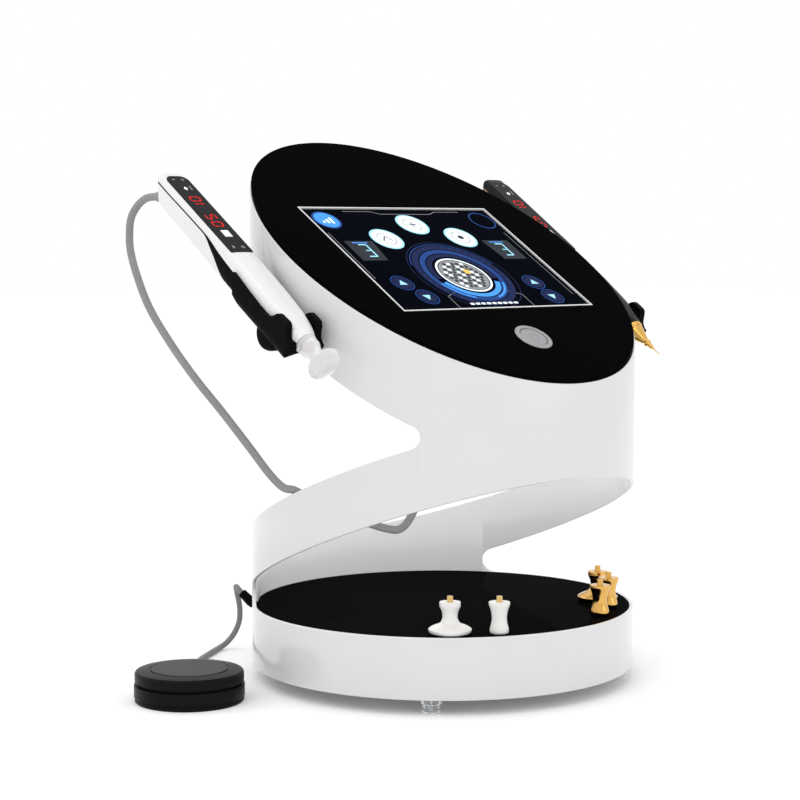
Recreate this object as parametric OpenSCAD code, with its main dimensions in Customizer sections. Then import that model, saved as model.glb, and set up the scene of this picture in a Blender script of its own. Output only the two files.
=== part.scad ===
/* [Console wall] */
// Outer diameter of the white wall
body_d = 320; // [312:1:330]
// Thickness of the white wall
wall = 3; // [2.6:0.1:3.6]
// Height of the base
base_h = 49; // [46:1:54]
// Height of the ribbon's lower edge on the centre line
ribbon_z = 104; // [100:1:108]
// Upright height of the ribbon
ribbon_h = 49; // [44:1:52]
// Slope of the ribbon, falling to the back
ribbon_slope = 22; // [20:0.5:24]
// Radius of the rounded end of both gaps
notch_r = 11; // [9:0.5:12]
// Height of the top plate's face on the centre line
plate_z = 342; // [338:1:348]
// Slope of the top plate, rising to the back
plate_tilt = 31.2; // [30:0.2:32]
// Upright height of the tilted drum under the plate
drum_h = 68; // [66:1:72]

/* [Top plate] */
// Thickness of the black plate
plate_t = 3; // [2.5:0.1:3.5]
// White edge left round the plate
plate_rim = 1; // [0.6:0.1:1.6]
// Width of the visible screen
screen_w = 206; // [196:1:212]
// Height of the visible screen
screen_h = 155; // [147:1:160]
// Distance of the screen's centre below the plate's centre, along the slope
screen_drop = 5.6; // [2:0.2:8]
// Width of the silver line round the screen
frame_w = 1.4; // [1:0.1:2]
// Distance of the power button below the plate's centre, along the slope
button_drop = 127; // [122:1:132]
// Diameter of the power button's cap
button_d = 24; // [20:1:27]
// Travel of the power button
button_travel = 1.5; // [0.8:0.1:2]

/* [Base] */
// Thickness of the black tray
tray_t = 4; // [3:0.5:5]
// Thickness of the bottom plate
bottom_t = 3; // [2:0.5:4]
// Diameter of a foot
foot_d = 19; // [16:1:22]
// Height of a foot
foot_h = 12; // [10:1:14]
// Distance of the feet's centres from the outer wall
foot_inset = 14; // [13:0.5:20]

/* [Wands] */
// Distance of each wand's centre line from the wall
wand_out = 21; // [21:0.5:26]
// Nose of the wand along the plate's slope, from the plate's centre
nose_s = -75; // [-80:1:-72]
// Depth of the wand's top under the plate's face at the nose
nose_drop = 19.7; // [18:0.1:22]
// Angle by which the wand is steeper than the plate
wand_lean = 2; // [1:0.5:3]
// Length of the wand's body
wand_l = 222; // [216:1:228]
// Width of the wand's body
wand_w = 28; // [27:0.5:29]
// Depth of the handle at its rear
handle_deep = 23; // [21:0.5:25]
// Depth of the grip
grip_deep = 25; // [24:0.5:26]
// Thickness of the wand's shells
shell_t = 2; // [1.6:0.1:2.2]
// Width of the display window
window_w = 21.3; // [20:0.1:22]
// Length of the display window
window_l = 112; // [104:1:112]
// Rear margin behind the display window
window_back = 5; // [4:0.5:8]
// Length of the push key
key_l = 9; // [7:0.5:10]
// Width of the push key
key_w = 7; // [5:0.5:8]
// Distance of the push key from the rear
key_back = 91; // [86:1:94]
// Travel of the push key
key_travel = 0.5; // [0.3:0.1:0.6]
// Distance that a lifted wand can travel
lift = 60; // [40:5:80]

/* [Tips] */
// Diameter of a tip's contact pin
pin_d = 4.8; // [4:0.1:5.4]
// Height of a tip without its pin
tip_h = 25; // [22:0.5:27]
// Visible length of a spare tip's pin
pin_l = 4.5; // [3:0.5:6]
// Diameter of the disc on a spare disc tip
disc_d = 34; // [30:1:35]
// Diameter of the disc on the fitted tip
fitted_disc_d = 28; // [24:1:28]
// Diameter of a tip's collar end
collar_d = 16.6; // [15:0.2:17]
// Diameter of a tip's waist
waist_d = 11.8; // [10:0.2:13]

/* [Cradles] */
// Thickness of the cradle's trough
trough_t = 3.4; // [3:0.1:4]
// Clearance between a wand and its trough
seat_gap = 0.4; // [0.3:0.05:0.6]
// Diameter of the round boss on the wall
boss_d = 28; // [26:1:30]
// Place of the boss along the plate's slope
boss_s = -43; // [-46:1:-40]
// Depth of the boss's centre under the plate's face
boss_drop = 44; // [43:1:45]

/* [Pedal] */
// Diameter of the pedal
pedal_d = 88; // [84:1:92]
// Height of the pedal's lower shell
pedal_base_h = 14; // [13:0.5:16]
// Height of the pedal from the floor to its pad
pedal_h = 26; // [25:0.5:28]
// Diameter of the grey pad
pad_d = 61; // [56:1:66]
// Gap that the cap closes when it is pressed
pedal_gap = 2.2; // [2:0.1:2.6]
// Travel of the cap
pedal_travel = 2; // [1:0.1:2]

/* [Cords] */
// Diameter of the wand's cord
wand_cord_d = 6.5; // [6:0.1:7]
// Diameter of the pedal's cord
pedal_cord_d = 5; // [4.5:0.1:5.4]

/* [Hidden] */

$fn = 96;
left = -1;
right = 1;
big = 600;
fit_gap = 0.3;
screw_fit = 0.05;

// Console wall
outer_r = body_d / 2;
foot_r = outer_r - foot_inset;
wand_x = outer_r + wand_out;
inner_r = outer_r - wall;
slope_run = tan(ribbon_slope);
tilt_run = tan(plate_tilt);
wall_top_drop = plate_t / cos(plate_tilt);
ledge_w = 7;
ledge_t = 3;

function ribbon_low(y) = ribbon_z - slope_run * y;
function ribbon_high(y) = ribbon_low(y) + ribbon_h;
function drum_low(y) = plate_z - drum_h + tilt_run * y;
function drum_high(y) = plate_z - wall_top_drop + tilt_run * y;

// Where the two edges of each gap would meet
lower_corner_y = (ribbon_z - base_h) / slope_run;
upper_corner_y = -(plate_z - drum_h - ribbon_z - ribbon_h) / (slope_run + tilt_run);

// Plate and floor of the drum
plate_r = outer_r - plate_rim;
floor_t = 3;
floor_n = -drum_h * cos(plate_tilt) + 1.2;
glass_t = 2;
lcd_t = 8;
ring_flange = 2.6;
ring_wall = 1.4;
ring_deep = 12;
board_n = floor_n + floor_t + 8;
board_size = [160, 100, 1.6];
board_post = [72, 42, 9];
board_at_s = -30;
chip_w = 22;
generator_size = [76, 48, 20];
generator_coil = [20, 6];
supply_size = [120, 70, 30];
supply_y = 40;

// Sockets in the drum's floor
socket_x = 60;
socket_s = -127;
socket_d = 15;
socket_bore_d = 8;
socket_flange_t = 2;
socket_bore_l = 9;
floor_screw_angles = [10, 65, 115, 170, 225, 315];
m3_d = 3;
m4_d = 4;

// Base
tray_z = base_h - tray_t;
foot_angles = [45, 135, 225, 315];
boss_post_d = 14;
boss_post_h = 24;
foot_screw_l = 24;
jack_a = 118;
jack_z = 36;
jack_d = 12;
jack_bore_d = 5.6;
jack_flange_t = 1.6;
inlet_w = 28;
inlet_h = 20;
inlet_z = 24;
inlet_deep = 20;
inlet_flange = 3;

// Flat lead stuck to the inside of the ribbon's left wall
link_t = 1.2;
link_w = 10;
link_from_y = 105;
link_to_y = -132;

// Wand stations: share of the length, half width, top and bottom
nose_z = -13.5;
nose_r = 9;
wand_sides = 24;
wand_box = 5;
half_w = wand_w / 2;
wand_stations = [
    [0, nose_r, nose_z + nose_r, nose_z - nose_r],
    [0.04, nose_r + 2.2, -3.6, -grip_deep + 1],
    [0.1, half_w - 1.4, -2.6, -grip_deep],
    [0.2, half_w - 0.4, -1.4, -grip_deep - 0.4],
    [0.3, half_w, -0.6, -grip_deep],
    [0.41, half_w, -0.1, -grip_deep],
    [0.5, half_w, 0, -grip_deep],
    [0.62, half_w, 0, -(2 * grip_deep + handle_deep) / 3],
    [0.76, half_w, 0, -(grip_deep + 2 * handle_deep) / 3],
    [0.9, half_w, 0, -handle_deep],
    [1, half_w - 0.6, 0, -handle_deep + 0.6]];
// Seam under the top shell and the sweep where the grip meets the lower shell
seam = [[wand_l + 5, -6], [140, -5], [112, -8], [88, -9.5], [40, -11], [-5, -nose_r - 4]];
sweep = [[142, -6.2], [125, -12], [107, -20], [86, -30]];
seam_t = 1.2;
window_t = 1.5;
window_y = wand_l - window_back - window_l;
key_y = wand_l - key_back;
recess_d = window_t - 0.1;
key_n = 0.5;
gland_z = -16;
gland_l = 20;
gland_d = 10.6;
collar_l = 4;
collet_l = 12;
fitted_pin_l = 8;
rear_turn = plate_tilt + wand_lean;

// Cradle
trough_from = -2;
trough_to = 88;
boss_out = wand_x + 14;
rim = [[88, -7], [39, -11], [29, -8], [22, -0.6], [10, -0.6], [5, -12], [-2, -15]];
boss_screw_gap = 7;
boss_screw_n = 42;
boss_screw_l = 10;

// Spare tips on the tray
white_disc_at = [-89, -109];
white_slim_at = [-60, -134];
gold_disc_at = [103, -82];
gold_front_at = [55, -131];
gold_rear_at = [87, -110];

// Pedal
pedal_at = [-222, 53];
floor_z = -foot_h;
pedal_shell = 2.6;
pedal_slot = 0.4;
sole_t = 1;
pedal_out_a = 38;
pedal_gland_l = 10;
pedal_exit_z = floor_z + 4.5;
spring_d = 14;
spring_wire = 1.6;
cap_z = floor_z + pedal_base_h + pedal_gap;
pad_z = floor_z + pedal_h;

// Routes of the cords, from the wand and from the pedal
wand_cord_at = [[-181, 140, 388.7], [-181, 151.8, 388.7], [-181, 162, 388.6], [-181, 172, 386.9], [-181, 183, 381.4],
    [-182, 191, 372], [-182, 194, 360], [-182, 193, 344], [-181, 185, 323], [-180, 168, 296],
    [-178, 141, 268], [-176, 108, 240], [-173, 74, 214], [-169, 42, 187], [-165, 22, 168],
    [-160.5, 10, 157.8], [-155, 3, 155.8], [-149.5, -3.5, 151.5], [-143, -10, 145.5], [-136, -17, 140],
    [-126, -27, 135], [-113, -38, 130], [-101, -46, 125.5], [-90, -49, 124], [-80, -49, 130],
    [-71.5, -50, 144], [-65, -52, 165], [-61, -56, 187], [-60, -61, 197.5], [-60, -62.5, 200.1],
    [-60, -64.6, 203.5]];
pedal_cord_at = [[-86.4, 162.6, 41.1], [-87.9, 165.3, 43.7], [-88.8, 168.6, 46.2], [-87.5, 174.5, 48],
    [-83, 180.5, 44], [-78, 185, 36], [-74, 188, 25], [-73, 190.5, 13], [-76, 194, 2], [-82, 197, -6],
    [-91, 195.5, -9.3], [-102, 188, -9.4], [-117, 177, -9.4], [-134, 164, -9.4], [-149, 146, -9.4],
    [-159, 125, -9.4], [-165.5, 104.5, -9.1], [-173.1, 91.4, -7.6], [-179.45, 86.25, -7.5], [-182.6, 83.8, -7.5]];

// Sets its children in the plate's own frame, face at zero and up the slope along Y
module on_plate() translate([0, 0, plate_z]) rotate([plate_tilt, 0, 0]) children();

// Sets its children in a wand's frame, nose at zero and rear along Y
module in_wand(side)
    on_plate() translate([side * wand_x, nose_s, -nose_drop]) rotate([wand_lean, 0, 0]) children();

// Lays an outline of Y and Z across the whole width
module side_cut(width = big) rotate([90, 0, 90]) translate([0, 0, -width / 2]) linear_extrude(width) children();

module slab(low, high) translate([-big / 2, -big / 2, low]) cube([big, big, high - low]);

module tube(r1, r2, z1, z2) translate([0, 0, z1]) difference() {
    cylinder(r = r2, h = z2 - z1, $fn = 180);
    translate([0, 0, -1]) cylinder(r = r1, h = z2 - z1 + 2, $fn = 180);
}

module lower_notch() {
    half = ribbon_slope / 2;
    d = notch_r / sin(half);
    mid = [lower_corner_y - d * cos(half), base_h + d * sin(half)];
    translate(mid) circle(notch_r);
    polygon([[mid[0], base_h], [-big, base_h], [-big, ribbon_low(-big)],
        mid + notch_r * [sin(ribbon_slope), cos(ribbon_slope)]]);
}

// Side outline of the drum, with the rounded end of the upper gap
module drum_outline() {
    half = (plate_tilt + ribbon_slope) / 2;
    way = (plate_tilt - ribbon_slope) / 2;
    d = notch_r / sin(half);
    mid = [upper_corner_y + d * cos(way), ribbon_high(upper_corner_y) + d * sin(way)];
    end = outer_r + 10;
    difference() {
        polygon([[-end, ribbon_high(-end)], mid - notch_r * [sin(ribbon_slope), cos(ribbon_slope)], mid,
            mid + notch_r * [-sin(plate_tilt), cos(plate_tilt)], [end, drum_low(end)], [end, drum_high(end)],
            [-end, drum_high(-end)]]);
        translate(mid) circle(notch_r);
    }
}

module ring_of(r, angles) for (a = angles) rotate([0, 0, a]) translate([r, 0, 0]) children();

module jack_place() rotate([0, 0, jack_a]) translate([0, 0, jack_z]) rotate([0, 90, 0]) children();

module base_shell() color("white") difference() {
    union() {
        tube(inner_r, outer_r, 0, base_h);
        tube(inner_r - ledge_w, inner_r + 1, tray_z - ledge_t, tray_z);
        ring_of(foot_r, foot_angles) translate([0, 0, bottom_t]) {
            cylinder(d = boss_post_d, h = boss_post_h);
            translate([0, -2, 0]) cube([inner_r - foot_r + 1, 4, boss_post_h]);
        }
    }
    ring_of(foot_r, foot_angles) translate([0, 0, bottom_t - 1])
        cylinder(d = m4_d + 2 * screw_fit, h = boss_post_h - 2);
    jack_place() cylinder(d = jack_d + 0.2, h = big);
    translate([-inlet_w / 2 - 0.2, 0, inlet_z - inlet_h / 2 - 0.2]) cube([inlet_w + 0.4, big, inlet_h + 0.4]);
}

module ribbon_shell() color("white") intersection() {
    tube(inner_r, outer_r, base_h, plate_z);
    side_cut() difference() {
        polygon([[-outer_r - 10, base_h], [outer_r + 10, base_h], [outer_r + 10, ribbon_high(outer_r + 10)],
            [-outer_r - 10, ribbon_high(-outer_r - 10)]]);
        lower_notch();
    }
}

module boss_screw_holes(d) for (side = [left, right], k = [-1, 1])
    on_plate() translate([0, boss_s + k * boss_screw_gap, -boss_screw_n]) rotate([0, side * 90, 0])
        translate([0, 0, inner_r / 2]) cylinder(d = d, h = big / 2);

module floor_screw_place() for (a = floor_screw_angles)
    let (r = inner_r - ledge_w / 2 - (sin(a) < 0 ? 1.6 : 0), y = r * sin(a))
    translate([r * cos(a), y, drum_low(y) + 1.2 / cos(plate_tilt)]) rotate([plate_tilt, 0, 0]) children();

module drum_shell() color("white") difference() {
    intersection() {
        union() {
            tube(inner_r, outer_r, base_h, plate_z + big / 2);
            intersection() {
                tube(inner_r - ledge_w, inner_r + 1, base_h, plate_z + big / 2);
                on_plate() union() {
                    slab(-plate_t - ledge_t, -plate_t);
                    slab(floor_n + floor_t, floor_n + floor_t + 2 * ledge_t);
                }
            }
        }
        side_cut() drum_outline();
    }
    boss_screw_holes(m4_d + 0.4);
    floor_screw_place() translate([0, 0, 1]) cylinder(d = m3_d + 2 * screw_fit, h = floor_t + 4);
}

module top_plate() color("black") difference() {
    intersection() {
        cylinder(r = plate_r, h = 2 * plate_z, $fn = 180);
        on_plate() slab(-plate_t, 0);
    }
    on_plate() {
        translate([-screen_w / 2 - frame_w, -screen_drop - screen_h / 2 - frame_w, -plate_t - 1])
            cube([screen_w + 2 * frame_w, screen_h + 2 * frame_w, plate_t + 2]);
        translate([0, -button_drop, -plate_t - 1]) cylinder(d = button_d + 2 * ring_wall + 0.2, h = plate_t + 2);
    }
}

module screen_frame() color("silver") on_plate() translate([0, -screen_drop, -plate_t]) difference() {
    translate([-screen_w / 2 - frame_w, -screen_h / 2 - frame_w, 0])
        cube([screen_w + 2 * frame_w, screen_h + 2 * frame_w, plate_t + 0.4]);
    translate([-screen_w / 2, -screen_h / 2, -1]) cube([screen_w, screen_h, plate_t + 3]);
}

module touch_glass() color("midnightblue") on_plate()
    translate([-screen_w / 2, -screen_drop - screen_h / 2, -plate_t]) cube([screen_w, screen_h, glass_t]);

module lcd_panel() color("dimgray") on_plate()
    translate([-screen_w / 2 - 4, -screen_drop - screen_h / 2 - 4, -plate_t - lcd_t])
        cube([screen_w + 8, screen_h + 8, lcd_t]);

module drum_floor() color("gainsboro") difference() {
    intersection() {
        cylinder(r = inner_r - fit_gap, h = 2 * plate_z, $fn = 180);
        on_plate() slab(floor_n, floor_n + floor_t);
    }
    for (side = [left, right]) on_plate() translate([side * socket_x, socket_s, floor_n - 1])
        cylinder(d = socket_d + 0.2, h = floor_t + 2);
    floor_screw_place() translate([0, 0, -1]) cylinder(d = m3_d + 0.4, h = floor_t + 2);
    link_band(fit_gap);
}

module drum_screws() color("silver") {
    floor_screw_place() {
        translate([0, 0, -1.85]) cylinder(d = 2 * m3_d, h = 1.8);
        translate([0, 0, -0.1]) cylinder(d = m3_d, h = floor_t + 4);
    }
    for (side = [left, right], k = [-1, 1])
        on_plate() translate([0, boss_s + k * boss_screw_gap, -boss_screw_n]) rotate([0, side * 90, 0])
            translate([0, 0, inner_r - 7]) {
                cylinder(d = 2 * m4_d, h = 3);
                cylinder(d = m4_d, h = 3 + boss_screw_l);
            }
}

module main_board() color("green") on_plate() translate([0, board_at_s, 0]) {
    translate([-board_size[0] / 2, -board_size[1] / 2, board_n]) cube(board_size);
    for (x = [-1, 1], y = [-1, 1]) translate([x * board_post[0], y * board_post[1], floor_n + floor_t])
        cylinder(d = 2 * m3_d, h = board_post[2]);
    for (x = [-50, 0, 45]) translate([x, 0, board_n + board_size[2] - 0.6]) cube([chip_w, chip_w, 3]);
}

module plasma_generator() color("goldenrod") on_plate()
    translate([-generator_size[0] / 2, -button_drop + 1 - generator_size[1] / 2, floor_n + floor_t]) {
        cube(generator_size);
        translate([generator_size[0] / 2, generator_size[1] / 2, generator_size[2] - 1])
            cylinder(d = generator_coil[0], h = generator_coil[1]);
    }

module tray_disc() color("black") difference() {
    translate([0, 0, tray_z]) cylinder(r = inner_r - fit_gap, h = tray_t, $fn = 180);
    link_band(fit_gap);
}

module bottom_plate() color("gainsboro") difference() {
    cylinder(r = inner_r - fit_gap, h = bottom_t, $fn = 180);
    ring_of(foot_r, foot_angles) translate([0, 0, -1]) cylinder(d = m4_d + 0.4, h = bottom_t + 2);
}

module feet() color("lightcyan") ring_of(foot_r, foot_angles) translate([0, 0, -foot_h]) difference() {
    union() {
        cylinder(d = foot_d - 2, h = foot_h);
        translate([0, 0, foot_h - 4]) cylinder(d = foot_d, h = 4);
        cylinder(d1 = foot_d - 4, d2 = foot_d - 1, h = 4);
    }
    translate([0, 0, -1]) cylinder(d = m4_d + 0.4, h = foot_h + 2);
    translate([0, 0, -1]) cylinder(d = 2 * m4_d + 0.6, h = 6);
}

module foot_screws() color("silver") ring_of(foot_r, foot_angles) translate([0, 0, 5 - foot_h]) {
    translate([0, 0, -3]) cylinder(d = 2 * m4_d, h = 3);
    cylinder(d = m4_d, h = foot_screw_l);
}

module power_supply() color("silver") translate([-supply_size[0] / 2, supply_y, bottom_t]) difference() {
    cube(supply_size);
    for (x = [15:15:supply_size[0] - 15]) translate([x, -1, 8]) cube([6, 3, 16]);
}

module power_inlet() color("dimgray") difference() {
    union() {
        translate([-inlet_w / 2, outer_r - inlet_deep, inlet_z - inlet_h / 2]) cube([inlet_w, inlet_deep + 1, inlet_h]);
        translate([-inlet_w / 2 - inlet_flange, outer_r + 0.1, inlet_z - inlet_h / 2 - inlet_flange])
            cube([inlet_w + 2 * inlet_flange, 2, inlet_h + 2 * inlet_flange]);
    }
    translate([-inlet_w / 2 + 2, outer_r - inlet_deep + 3, inlet_z - inlet_h / 2 + 2])
        cube([inlet_w - 4, inlet_deep, inlet_h - 4]);
}

module pedal_socket() color("black") jack_place() difference() {
    union() {
        translate([0, 0, inner_r - 14]) cylinder(d = jack_d, h = 14 + wall);
        translate([0, 0, outer_r]) cylinder(d = jack_d + 4, h = jack_flange_t);
    }
    translate([0, 0, inner_r - 10]) cylinder(d = jack_bore_d, h = 40);
}

module wand_sockets() color("silver") for (side = [left, right])
    on_plate() translate([side * socket_x, socket_s, floor_n]) difference() {
        union() {
            cylinder(d = socket_d, h = floor_t + 10);
            translate([0, 0, -socket_flange_t]) cylinder(d = socket_d + 5, h = socket_flange_t);
        }
        translate([0, 0, -socket_flange_t - 1]) cylinder(d = socket_bore_d, h = socket_bore_l + 1);
    }

function unit(v) = v / norm(v);
function ahead(path, i) = unit(path[min(i + 1, len(path) - 1)] - path[max(i - 1, 0)]);
function across(way) = unit(cross(way, abs(way[2]) < 0.9 ? [0, 0, 1] : [1, 0, 0]));
function carried(path, i) = i == 0 ? across(ahead(path, 0)) :
    let (last = carried(path, i - 1), way = ahead(path, i)) unit(last - (last * way) * way);

// A round tube along a path, each ring turned as little as possible from the one before
module sweep_tube(path, d, sides = 8) {
    n = len(path);
    rings = [for (i = [0:n - 1]) let (way = ahead(path, i), u = carried(path, i), v = cross(way, u))
        for (k = [0:sides - 1]) path[i] + d / 2 * (cos(360 * k / sides) * u + sin(360 * k / sides) * v)];
    skin = [for (i = [0:n - 2], k = [0:sides - 1])
        let (a = i * sides + k, b = i * sides + (k + 1) % sides) each [[a, a + sides, b], [b, a + sides, b + sides]]];
    ends = [[for (k = [0:sides - 1]) k], [for (k = [sides - 1:-1:0]) (n - 1) * sides + k]];
    polyhedron(rings, concat(skin, ends), convexity = 6);
}

function ribbon_mid(y) = ribbon_low(y) + ribbon_h / 2;

module link_band(grow) intersection() {
    tube(inner_r - link_t - 0.1 - grow, inner_r - 0.1 + 4 * grow, base_h - 2 * tray_t, plate_z);
    side_cut() offset(delta = grow) let (h = link_w / 2, back = link_from_y + h, front = link_to_y - h)
        polygon([[back - link_w, tray_z + 0.5], [back, tray_z + 0.5], [back, ribbon_mid(back) + h],
            [front + link_w, ribbon_mid(front + link_w) + h], [front + link_w, drum_low(front + link_w) + 3.6],
            [front, drum_low(front) + 3.6], [front, ribbon_mid(front) - h], [back - link_w, ribbon_mid(back - link_w) - h]]);
    translate([-big, -big / 2, 0]) cube([big, big, big]);
}

module link_cable() color("white") link_band(0);

module button_ring() color("silver") on_plate() translate([0, -button_drop, 0]) difference() {
    union() {
        cylinder(d = button_d + 2 * ring_wall + 2 * ring_flange, h = 1);
        translate([0, 0, -ring_deep]) cylinder(d = button_d + 2 * ring_wall, h = ring_deep + 0.5);
    }
    translate([0, 0, -ring_deep - 1]) cylinder(d = button_d, h = ring_deep + 3);
}

module power_button() color("silver") on_plate() translate([0, -button_drop, 0]) {
    translate([0, 0, -4]) cylinder(d = button_d - 0.4, h = 4.7);
}

module power_switch() color("black") on_plate() translate([0, -button_drop, 0]) {
    translate([0, 0, -ring_deep - 14]) cylinder(d = button_d + 2 * ring_wall, h = 14);
    translate([0, 0, -ring_deep]) cylinder(d = button_d - 6, h = ring_deep - 4 - button_travel - 0.2);
}

// A rounded box at one station of a wand, grown by a margin
function station(s, grow) = let (c = (s[2] + s[3]) / 2, h = (s[2] - s[3]) / 2 + grow, w = s[1] + grow)
    [for (k = [0:wand_sides - 1]) let (a = 360 * (k + 0.5) / wand_sides)
        [w * sign(cos(a)) * pow(abs(cos(a)), 2 / wand_box), s[0] * wand_l,
            c + h * sign(sin(a)) * pow(abs(sin(a)), 2 / wand_box)]];

module loft(stations, grow = 0) {
    n = len(stations);
    m = wand_sides;
    polyhedron([for (s = stations) each station(s, grow)], concat(
        [for (i = [0:n - 2], k = [0:m - 1]) let (a = i * m + k, b = i * m + (k + 1) % m)
            each [[a, b, a + m], [b, b + m, a + m]]],
        [[for (k = [m - 1:-1:0]) k], [for (k = [0:m - 1]) (n - 1) * m + k]]), convexity = 4);
}

// Everything behind the wand's rear face, which stands upright on the console
module rear_cut(inset) translate([0, wand_l - inset, 0]) rotate([-rear_turn, 0, 0])
    translate([-big / 2, 0, -big / 2]) cube([big, big, big]);

module wand_skin() difference() {
    loft(wand_stations);
    rear_cut(0);
    difference() {
        loft([for (i = [0:len(wand_stations) - 1]) let (s = wand_stations[i])
            i == 0 ? [0.012, s[1], s[2], s[3]] : s], -shell_t);
        rear_cut(2 * shell_t);
    }
    translate([0, -1, nose_z]) rotate([-90, 0, 0]) cylinder(r = nose_r - shell_t, h = 9);
}

module top_shell(side) color(side == left ? "white" : "dimgray") in_wand(side) difference() {
    intersection() {
        wand_skin();
        side_cut(2 * wand_w) polygon(concat([[-5, 5], [wand_l + 5, 5]], seam));
    }
    translate([-window_w / 2 - 0.1, window_y - 0.1, -recess_d]) cube([window_w + 0.2, window_l + 0.2, 5]);
    translate([-window_w / 2 + 3, window_y + 5, -4]) cube([window_w - 6, window_l - 10, 5]);
}

module lower_shell(side) color(side == left ? "white" : "dimgray") in_wand(side) difference() {
    intersection() {
        wand_skin();
        side_cut(2 * wand_w) polygon(concat([[wand_l + 5, seam[0][1] - seam_t]], sweep, [[86, -60], [wand_l + 5, -60]]));
    }
    gland_place() cylinder(d = gland_d - 3.8, h = 40, center = true);
}

module grip(side) color(side == left ? "black" : "rosybrown") in_wand(side) intersection() {
    wand_skin();
    side_cut(2 * wand_w) polygon(concat(seam, [[-5, -40], [86, -40]],
        [for (i = [3:-1:0]) sweep[i]], [[wand_l + 5, seam[0][1] - seam_t]]));
}

module window(side) color("black") in_wand(side) difference() {
    translate([-window_w / 2, window_y, -recess_d]) cube([window_w, window_l, window_t]);
    translate([-key_w / 2 - 0.2, key_y - key_l / 2 - 0.2, -3]) cube([key_w + 0.4, key_l + 0.4, 5]);
}

module key(side) color("white") in_wand(side)
    translate([-key_w / 2, key_y - key_l / 2, -3]) cube([key_w, key_l, 3 + key_n]);

module board(side) color("green") in_wand(side) {
    translate([-8, window_y - 4, -8]) cube([16, window_l - 4, 1.6]);
    translate([-7, key_y + 14, -6.5]) cube([14, 60, 6.5 - recess_d - 0.1]);
    translate([-3, key_y - 3, -6.5]) cube([6, 6, 3.5 - key_travel - 0.2]);
}

module coil(side) color("orange") in_wand(side) translate([0, 22, nose_z]) rotate([-90, 0, 0]) {
    cylinder(d = 16, h = 46);
    translate([0, 0, 45]) cylinder(d = 10, h = 8);
}

module collar(side) color(side == left ? "white" : "gold") in_wand(side)
    translate([0, 0, nose_z]) rotate([90, 0, 0]) difference() {
        union() {
            cylinder(r1 = nose_r, r2 = nose_r - 1.2, h = collar_l);
            translate([0, 0, -collet_l]) cylinder(r = nose_r - shell_t - 0.1, h = collet_l + 1);
        }
        translate([0, 0, -fitted_pin_l - 1]) cylinder(d = pin_d + 2 * screw_fit, h = big);
    }

// The cord's gland stands square on the rear face, level with the console
module gland_place() translate([0, wand_l + gland_z * tan(rear_turn), gland_z])
    rotate([-rear_turn, 0, 0]) rotate([-90, 0, 0]) children();

module gland(side) color(side == left ? "gray" : "black") in_wand(side) gland_place() difference() {
    union() {
        cylinder(d1 = gland_d, d2 = wand_cord_d + 2, h = gland_l);
        translate([0, 0, -2 * shell_t - 2]) cylinder(d = gland_d - 4, h = 2 * shell_t + 3);
    }
    translate([0, 0, gland_l - 14]) cylinder(d = wand_cord_d + 0.2, h = 20);
}

function disc_outline(r) = [[0, 0], [r - 4, 0], [r - 0.8, 1.6], [r, 3.2], [r - 1.4, 5], [waist_d / 2 + 3, 7.4],
    [waist_d / 2 + 0.6, 10], [waist_d / 2, 13], [waist_d / 2 + 0.6, 16.5], [collar_d / 2, tip_h - 2],
    [collar_d / 2, tip_h - 0.8], [collar_d / 2 - 0.8, tip_h], [0, tip_h]];
slim_outline = [[0, 0], [6.6, 0], [7.5, 1.2], [7.4, 4], [waist_d / 2 + 0.2, 9], [waist_d / 2, 13],
    [waist_d / 2 + 0.7, 18], [collar_d / 2, tip_h - 1.6], [collar_d / 2, tip_h - 0.7],
    [collar_d / 2 - 0.7, tip_h], [0, tip_h]];

module tip(outline, pin) {
    rotate_extrude() polygon(outline);
    translate([0, 0, tip_h - 1]) cylinder(d = pin_d, h = pin + 1);
}

module on_tray(at) translate([at[0], at[1], base_h]) children();

module fitted(side) in_wand(side) translate([0, -collar_l - 0.05, nose_z]) rotate([-90, 0, 0])
    translate([0, 0, -tip_h]) children();

module left_tip() color("whitesmoke") fitted(left) tip(disc_outline(fitted_disc_d / 2), fitted_pin_l);

needle_outline = [[0, -9], [0.35, -9], [0.5, 0], [1.6, 1.5], [2, 5], [3.2, 7], [3.2, 8.4], [2.4, 9],
    [4.2, 14], [6.6, tip_h - 3], [7.4, tip_h - 1], [7.4, tip_h], [0, tip_h]];

module right_tip() color("gold") fitted(right) tip(needle_outline, fitted_pin_l);

// Outer form of a cradle, before the wand's room is taken out
module trough_block() intersection() {
    loft([[trough_from / wand_l, half_w, 6, -grip_deep - 1], for (t = [0.04, 0.12, 0.22, 0.32])
        [t, half_w, 6, -grip_deep - 0.6], [trough_to / wand_l, half_w, 6, -grip_deep]], trough_t);
    side_cut(4 * wand_w) polygon(concat(rim, [[2, -grip_deep - 3], [30, -grip_deep - 6],
        [60, -grip_deep - 6], [80, -grip_deep + 2]]));
}

// Room for the wand and its way up out of the trough
module wand_room() {
    loft(wand_stations, seat_gap);
    translate([0, 0, nose_z]) linear_extrude(big / 8) polygon(concat(
        [for (s = wand_stations) [s[1] + seat_gap, s[0] * wand_l]],
        [for (i = [len(wand_stations) - 1:-1:0]) [-wand_stations[i][1] - seat_gap, wand_stations[i][0] * wand_l]]));
    translate([0, 0, nose_z]) rotate([90, 0, 0]) cylinder(r = nose_r + seat_gap, h = 30);
    translate([-nose_r - seat_gap, -30, nose_z]) cube([2 * nose_r + 2 * seat_gap, 31, big / 8]);
}

module cradle(side) color("black") in_wand(side) difference() {
    trough_block();
    wand_room();
}

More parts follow.
